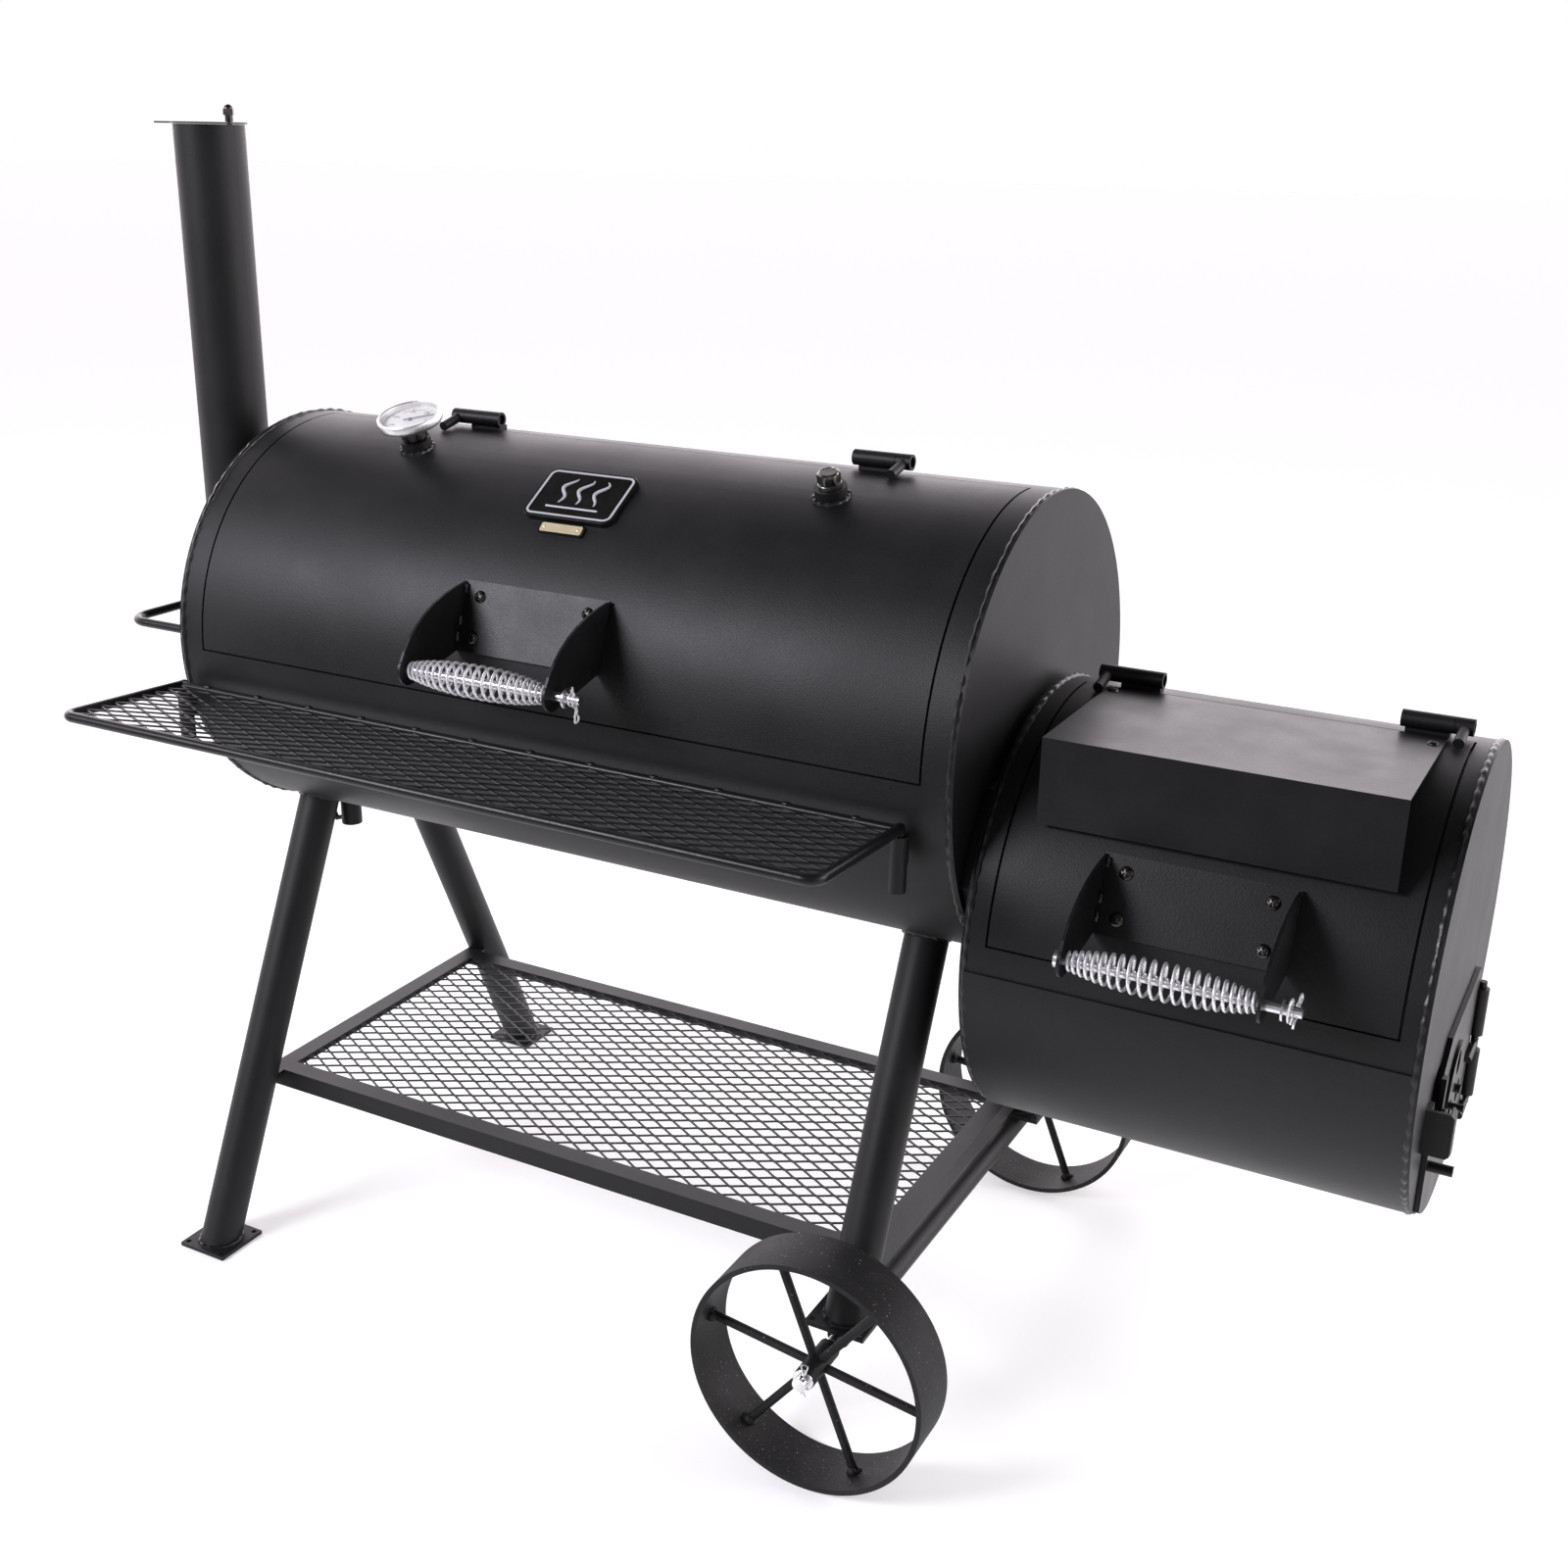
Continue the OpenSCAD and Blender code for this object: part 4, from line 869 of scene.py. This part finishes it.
    def wheels(self, size):
        """A small collar and a lump where each spoke meets its band."""
        for name, part, body in (("front_wheel_welds", "front_wheel", "wheel_front"),
                                 ("back_wheel_welds", "back_wheel", "wheel_back")):
            low, high = corners(part)
            centre = middle(part)
            inner = (high[2] - low[2]) / 2 - WHEEL_BAND
            beads = []
            for k in range(SPOKES):
                a = math.radians(FIRST_SPOKE + 360 / SPOKES * k)
                out = np.array([math.cos(a), 0, math.sin(a)])
                across = np.cross(out, (0, 1, 0))
                c, s = bead_path(6.2 * MM, 20)
                ring = c[:, None] * across + s[:, None] * np.array([0, 1, 0])
                path = centre + (inner - 0.8 * MM) * out + ring
                beads.append(weld(path, 0.8 * size, 71 + k, out))
                beads.append(dab(centre + (inner - 2 * MM) * out + [0, -5 * MM, 0], (6.5, 4.5, 6.5)))
            add_piece(name, beads, body, "wheel paint", "wheel_paint")


def hairpin(place):
    """A hairpin clip: a straight leg, a round eye, and a leg that bends round the rod.

    Local X is along the rod, Y across it and Z along the clip.
    """
    straight = [(0, -15), (0, 0), (0, 14)]
    turn = np.radians([-60, -10, 40, 90, 150, 210])
    eye = [(4.2 + 4.2 * math.cos(a + math.pi / 2), 20 + 4.2 * math.sin(a + math.pi / 2)) for a in turn[::-1]]
    wavy = [(4.4, 12.5), (3.0, 9), (6.6, 3.2), (6.9, 0), (6.6, -3.2), (3.2, -9), (5.8, -15)]
    keys = np.array(straight + eye + wavy) * MM
    curve = smooth_path(keys, 7)
    path = np.stack([0 * curve[:, 0], curve[:, 0], curve[:, 1]], -1)
    path[:, 0] = np.linspace(-0.5, 1.6, len(path)) * MM
    points, faces = sweep(path, 0.95 * MM, 8, (1, 0, 0))
    return place(points), faces


def washer(x, r_in, r_out, thick, centre, along):
    """A flat ring with eased edges about an axis."""
    ease = 0.3 * MM
    profile = [(r_in, 0), (r_out - ease, 0), (r_out, ease), (r_out, thick - ease), (r_out - ease, thick),
               (r_in, thick)]
    turn = np.arange(40) * 2 * math.pi / 40
    profile = np.asarray(profile)
    side = np.cross(along, (0, 0, 1))
    ring = np.cos(turn)[:, None] * side + np.sin(turn)[:, None] * np.array([0, 0, 1])
    points = centre + profile[:, None, :1] * ring[None] + (x + profile[:, None, 1:]) * np.asarray(along)
    return closed_grid(points, wrap_rows=True)


class SMOKER_OT_clips(bpy.types.Operator):
    """Hairpin clips on both handles and on the axle, with the axle's washers"""

    bl_idname = "smoker.clips"
    bl_label = "Clips"

    def execute(self, context):
        for (which, body, *_), tilt, disc in zip(HANDLES, (195, -65), (7.5 * MM, 11.5 * MM)):
            part = which + "_handle_rod"
            centre = middle(part)
            centre[0] = corners(part)[1][0] - 7 * MM
            turn = np.array(Matrix.Rotation(math.radians(tilt), 3, "X"))
            parts = [hairpin(lambda p: centre + p @ turn.T),
                     washer(-5 * MM, 6.5 * MM, disc, 1.6 * MM, centre, np.array([1.0, 0.0, 0.0]))]
            add_piece(which + "_handle_clip", parts, body, "spring nickel", "grip_rod_zinc")
        self.axle()
        return {"FINISHED"}

    def axle(self):
        """Two washers and a clip at each end of the axle."""
        low, high = corners("axle")
        centre = middle("axle")
        radius = (high[2] - low[2]) / 2
        hub_y = abs(middle("back_wheel")[1] - centre[1])
        parts = []
        for side in (-1, 1):
            along = np.array([0.0, side, 0.0])
            for offset in (hub_y - HUB_HALF - 3 * MM, hub_y + HUB_HALF + 1 * MM):
                parts.append(washer(offset, radius, 12 * MM, 2 * MM, centre, along))
            pin = centre + along * (hub_y + HUB_HALF + 6 * MM)

            def place(p, pin=pin, side=side):
                return pin + np.stack([p[:, 1], side * p[:, 0], p[:, 2]], -1)

            points, faces = hairpin(place)
            parts.append((points, outward(points, faces)))
        add_piece("axle_washers_and_clips", parts, "chassis", "bright zinc", "zinc_hardware", "axle_clips")


def screw_head(place, radius=7 * MM):
    """A pan head with a cross recess.

    Height falls as a ball's does from the middle, less the recess, which is deep where |x| or |y| is
    under the slot's half width and the other is under its half length.
    """
    rho = np.concatenate([np.linspace(0.04, 0.72, 15), np.linspace(0.78, 1.0, 5)])
    turn = np.arange(48) * 2 * math.pi / 48
    x = rho[:, None] * np.cos(turn)
    y = rho[:, None] * np.sin(turn)
    dome = 0.52 * np.sqrt(np.maximum(1.06 - (x * x + y * y), 0.0))
    slot = np.maximum(recess_arm(x, y), recess_arm(y, x))
    top = np.stack([x, y, dome - 0.3 * slot], -1)
    skirt = np.stack([np.cos(turn), np.sin(turn), 0 * turn], -1)[None]
    return closed_grid(place(np.concatenate([top, skirt]) * radius))


def recess_arm(along, across):
    """One arm of the cross, from 0 outside it to 1 in it."""
    return np.clip((0.66 - np.abs(along)) / 0.1, 0, 1) * np.clip((0.17 - np.abs(across)) / 0.05, 0, 1)


class SMOKER_OT_screws(bpy.types.Operator):
    """Cross-head screws of both handle brackets and of the heat shield"""

    bl_idname = "smoker.screws"
    bl_label = "Screws"

    def execute(self, context):
        turns = np.radians([12, 50, -25, 75])
        for which, body, axis_z, radius, angle in HANDLES:
            on_bracket = placer(which + "_handle_bracket", angle, axis_z, radius)
            places = [(sx * SCREW_X, sy * SCREW_Z) for sx in (-1, 1) for sy in (-1, 1)]
            heads = []
            for (dx, dy), spin in zip(places, turns):
                turn = np.array(Matrix.Rotation(spin, 3, "Z"))

                def place(p, spot=np.array([dx, dy, 3 * MM]), turn=turn):
                    return on_bracket(p @ turn.T + spot)

                heads.append(screw_head(place))
            add_piece(which + "_bracket_screws", heads, body, "black oxide", "black_hardware",
                      which + "_handle_screws")
        low, high = corners("heat_shield")
        spots = ((low[0] + 9 * MM, high[1] - 14 * MM), (high[0] - 10 * MM, high[1] - 26 * MM))
        heads = [screw_head(lambda p, x=x, y=y: p + np.array([x, y, high[2]]), 6 * MM) for x, y in spots]
        add_piece("heat_shield_screws", heads, "fire_lid", "black oxide", "black_hardware")
        return {"FINISHED"}


def flat_text(words, size, depth):
    """Outline of a short number as a thin solid about the origin."""
    data = bpy.data.curves.new("number", "FONT")
    data.body = words
    data.size = size
    data.align_x = "CENTER"
    data.align_y = "CENTER"
    data.extrude = depth / 2
    data.resolution_u = 3
    holder = bpy.data.objects.new("number", data)
    bpy.context.scene.collection.objects.link(holder)
    bpy.context.view_layer.update()
    mesh = bpy.data.meshes.new_from_object(holder)
    points = np.zeros(len(mesh.vertices) * 3, np.float32)
    mesh.vertices.foreach_get("co", points)
    mesh.calc_loop_triangles()
    corners_used = np.zeros(len(mesh.loop_triangles) * 3, np.int32)
    mesh.loop_triangles.foreach_get("vertices", corners_used)
    faces = corners_used.reshape(-1, 3)[:, [0, 1, 2, 2]].astype(int)
    bpy.data.objects.remove(holder)
    bpy.data.meshes.remove(mesh)
    return points.reshape(-1, 3).astype(float), faces


class SMOKER_OT_gauge(bpy.types.Operator):
    """Thermometer: case, neck, printed scale and glass"""

    bl_idname = "smoker.gauge"
    bl_label = "Thermometer"

    def execute(self, context):
        low, high = corners("thermometer_case")
        rim = (high[0] - low[0]) / 2
        up = DIAL_UP
        self.case(rim, up)
        self.scale(rim - 4 * MM, up - 2 * MM)
        out = np.linspace(0, 1, 9)
        t = np.concatenate([out, out[::-1]])
        face = np.repeat([1.4, 2.4], len(out)) * MM
        reach = np.maximum((rim - 4.2 * MM) * t, 0.2 * MM)
        profile = np.stack([reach, up + face + 2.6 * MM * (1 - t * t)], -1)
        add_piece("gauge_window", [turned(profile, self.place)], "lid", "gauge glass", "gauge_steel")
        return {"FINISHED"}

    def place(self, points):
        """From the thermometer's own axes to its place on the lid."""
        return placer("thermometer_case", DIAL_ANGLE)(points)

    def case(self, rim, up):
        """A pressed cup with a rolled rim, on a hex neck and a threaded stem."""
        edge = rim / MM
        cup = np.array([(15, -6), (edge - 3, -6), (edge - 1.2, -5.4), (edge - 0.3, -4), (edge, -2),
                        (edge, 3.6), (edge - 0.4, 5.0), (edge - 1.4, 5.9), (edge - 2.6, 5.9), (edge - 3.7, 5.0),
                        (edge - 4, 3.6), (edge - 4, -3), (2.6, -3), (2.6, -5)]) * MM
        add_piece("gauge_case", [turned(cup + [0, up], self.place, 96, True)], "lid", "turned stainless",
                  "gauge_steel", "thermometer_case")
        neck = np.array([(12.5, 12), (14.6, 13.2), (16.2, 14.2), (16.2, 30), (14.6, 31.4), (12.0, 32)]) * MM
        stem = np.array([(9, -50), (9, 12)]) * MM
        parts = [turned(neck, self.place, 72, apothem=14 * MM), turned(stem, self.place)]
        add_piece("gauge_neck", parts, "lid", "black oxide", "black_hardware")

    def scale(self, radius, height):
        """Ticks at even steps over 270 degrees, a number at every eighth, and a coloured band."""
        start = math.radians(225)
        sweep_angle = math.radians(270)
        steps = 40
        marks = []
        for k in range(steps + 1):
            a = start - sweep_angle * k / steps
            long = 6.0 if k % 8 == 0 else (4.2 if k % 4 == 0 else 2.8)
            half = (0.45 if k % 8 == 0 else 0.25) * MM
            outer = radius - 2.2 * MM
            inner = outer - long * MM
            ring = ((inner, -half), (outer, -half), (outer, half), (inner, half))
            box = np.array([[(r, w, z) for r, w in ring] for z in (0.02 * MM, 0.14 * MM)])
            marks.append(self.turned_mark(box, a, height))
        marks.append(self.arc(radius, (1.9, 1.5), 0.14, start, -sweep_angle, height))
        for k in range(0, steps + 1, 8):
            a = start - sweep_angle * k / steps
            points, faces = flat_text(str(100 + 100 * k // 8), 5.6 * MM, 0.12 * MM)
            centre = np.array([math.cos(a), math.sin(a), 0]) * (radius - 12.5 * MM)
            marks.append((self.place(points + centre + np.array([0, 0, height + 0.08 * MM])), faces))
        add_piece("gauge_printing", marks, "lid", "dial ink", "gauge_pointer_black")
        arc = self.arc(radius, (9.6, 8.8), 0.12, start - 0.3 * sweep_angle, -0.3 * sweep_angle, height)
        add_piece("gauge_band", [arc], "lid", "dial red", "gauge_face")

    def turned_mark(self, box, angle, height):
        """A small box turned about the dial's middle."""
        c, s = math.cos(angle), math.sin(angle)
        x = box[..., 0] * c - box[..., 1] * s
        y = box[..., 0] * s + box[..., 1] * c
        return closed_grid(self.place(np.stack([x, y, box[..., 2] + height], -1)))

    def arc(self, radius, insets, top, start, extent, height):
        """A line printed along an arc, between two insets (mm) from the dial's edge and up to a top (mm)."""
        turn = start + extent * np.linspace(0, 1, 60)[:, None]
        far, near = insets
        section = np.array([(-far, 0.02), (-near, 0.02), (-near, top), (-far, top)]) * MM + [radius, 0]
        x = section[:, 0] * np.cos(turn)
        y = section[:, 0] * np.sin(turn)
        z = height + section[:, 1] + 0 * turn
        return closed_grid(self.place(np.stack([x, y, z], -1)))


class SMOKER_OT_plug(bpy.types.Operator):
    """Hex plug of the spare port"""

    bl_idname = "smoker.plug"
    bl_label = "Port plug"

    def execute(self, context):
        place = placer("port_plug", PLUG_ANGLE)
        collar = np.array([(9, -4), (9, 12), (12.4, 12), (13, 12.6), (13, 16.4), (12.4, 17), (9, 17)]) * MM
        head = np.array([(11.0, 17), (13.1, 18.2), (13.1, 26.6), (12.2, 28.4), (10.4, 29.6), (9.8, 29.8),
                         (9.2, 29.2), (5, 29.2)]) * MM
        parts = [turned(collar, place), turned(head, place, 72, apothem=11.3 * MM)]
        add_piece("port_plug_head", parts, "lid", "aged nickel", "plug_blackened", "port_plug")
        return {"FINISHED"}


class SMOKER_OT_badge(bpy.types.Operator):
    """Plain badge with three lines of smoke, and a blank tag below it"""

    bl_idname = "smoker.badge"
    bl_label = "Badge"

    def execute(self, context):
        low, high = corners("lid_badge")
        width = high[0] - low[0]
        height = 78 * MM
        place = placer("lid_badge", BADGE_ANGLE)
        tag_place = placer("lid_badge", TAG_ANGLE)
        plate = solid_slab(width, height, 12 * MM, [(0.6 * MM, -2.5 * MM), (0, -1.9 * MM), (0, 3.4 * MM),
                                                    (0.6 * MM, 4 * MM)], place)
        holder = solid_slab(58 * MM, 15 * MM, 3 * MM, [(0, -0.6 * MM), (0, 2.4 * MM), (0.5 * MM, 3 * MM)],
                            tag_place)
        add_piece("badge_plate", [plate, holder], "lid", "black enamel", "badge_enamel", "lid_badge")
        border = frame_slab(width - 6 * MM, height - 6 * MM, 9 * MM, 2.6 * MM, 3.8 * MM, 4.6 * MM, place)
        lines = [self.smoke(place, dx * MM, k) for k, dx in enumerate((-22, 0, 22))]
        bar = sweep(place(np.stack([np.linspace(-34, 34, 12) * MM, np.full(12, -22 * MM),
                                    np.full(12, 4.0 * MM)], -1)), 1.3 * MM, 8, (0, 0, 1))
        add_piece("badge_trim", [border, bar, *lines], "lid", "border paint", "badge_enamel")
        tag = solid_slab(54 * MM, 11.4 * MM, 2 * MM, [(0, 2.8 * MM), (0, 3.6 * MM), (0.4 * MM, 4 * MM)],
                         tag_place)
        pins = [turned(np.array([(1.7, 3.6), (1.7, 4.3), (1.2, 4.8), (0.3, 5.0)]) * MM,
                       lambda p, dx=dx: tag_place(p + np.array([dx * MM, 0, 0])), 20) for dx in (-22, 22)]
        add_piece("badge_tag", [tag, *pins], "lid", "tag brass", "badge_enamel")
        return {"FINISHED"}

    def smoke(self, place, shift, k):
        """A rising line: its sway is a sine that grows with height, and it thins to both ends."""
        t = np.linspace(0, 1, 40)
        sway = (3 + 4 * t) * np.sin(2 * math.pi * (1.25 * t + 0.1 * k))
        path = np.stack([shift + sway * MM, (-15 + 40 * t) * MM, np.full(40, 4.0 * MM)], -1)
        return sweep(place(path), (0.5 + 1.6 * np.sin(math.pi * t) ** 0.7) * MM, 8, (1, 0, 0))


class SMOKER_PT_panel(bpy.types.Panel):
    """Lists the smoker's settings and operators"""

    bl_label = "Offset Smoker"
    bl_idname = "SMOKER_PT_panel"
    bl_space_type = "VIEW_3D"
    bl_region_type = "UI"
    bl_category = "Smoker"

    def draw(self, context):
        for holder in SETTINGS:
            settings = getattr(context.scene, holder)
            box = self.layout.box()
            for name in settings.__annotations__:
                box.prop(settings, name)
        for operator in OPERATORS:
            self.layout.operator(operator.bl_idname)


SETTINGS = {"smoker_paint": SmokerPaint, "smoker_hardware": SmokerHardware, "smoker_view": SmokerView}
OPERATORS = (SMOKER_OT_stage, SMOKER_OT_finishes, SMOKER_OT_springs, SMOKER_OT_shelf_metal, SMOKER_OT_welds,
             SMOKER_OT_clips, SMOKER_OT_screws, SMOKER_OT_gauge, SMOKER_OT_plug, SMOKER_OT_badge)


def register():
    for kind in (*SETTINGS.values(), *OPERATORS, SMOKER_PT_panel):
        bpy.utils.register_class(kind)
    for name, kind in SETTINGS.items():
        setattr(bpy.types.Scene, name, bpy.props.PointerProperty(type=kind))


def unregister():
    for name in SETTINGS:
        delattr(bpy.types.Scene, name)
    for kind in reversed((*SETTINGS.values(), *OPERATORS, SMOKER_PT_panel)):
        bpy.utils.unregister_class(kind)


def main():
    """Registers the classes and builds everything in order."""
    register()
    bpy.ops.smoker.stage()
    bpy.ops.smoker.finishes()
    bpy.ops.smoker.springs()
    bpy.ops.smoker.shelf_metal()
    bpy.ops.smoker.welds()
    bpy.ops.smoker.clips()
    bpy.ops.smoker.screws()
    bpy.ops.smoker.gauge()
    bpy.ops.smoker.plug()
    bpy.ops.smoker.badge()


if __name__ == "__main__":
    main()
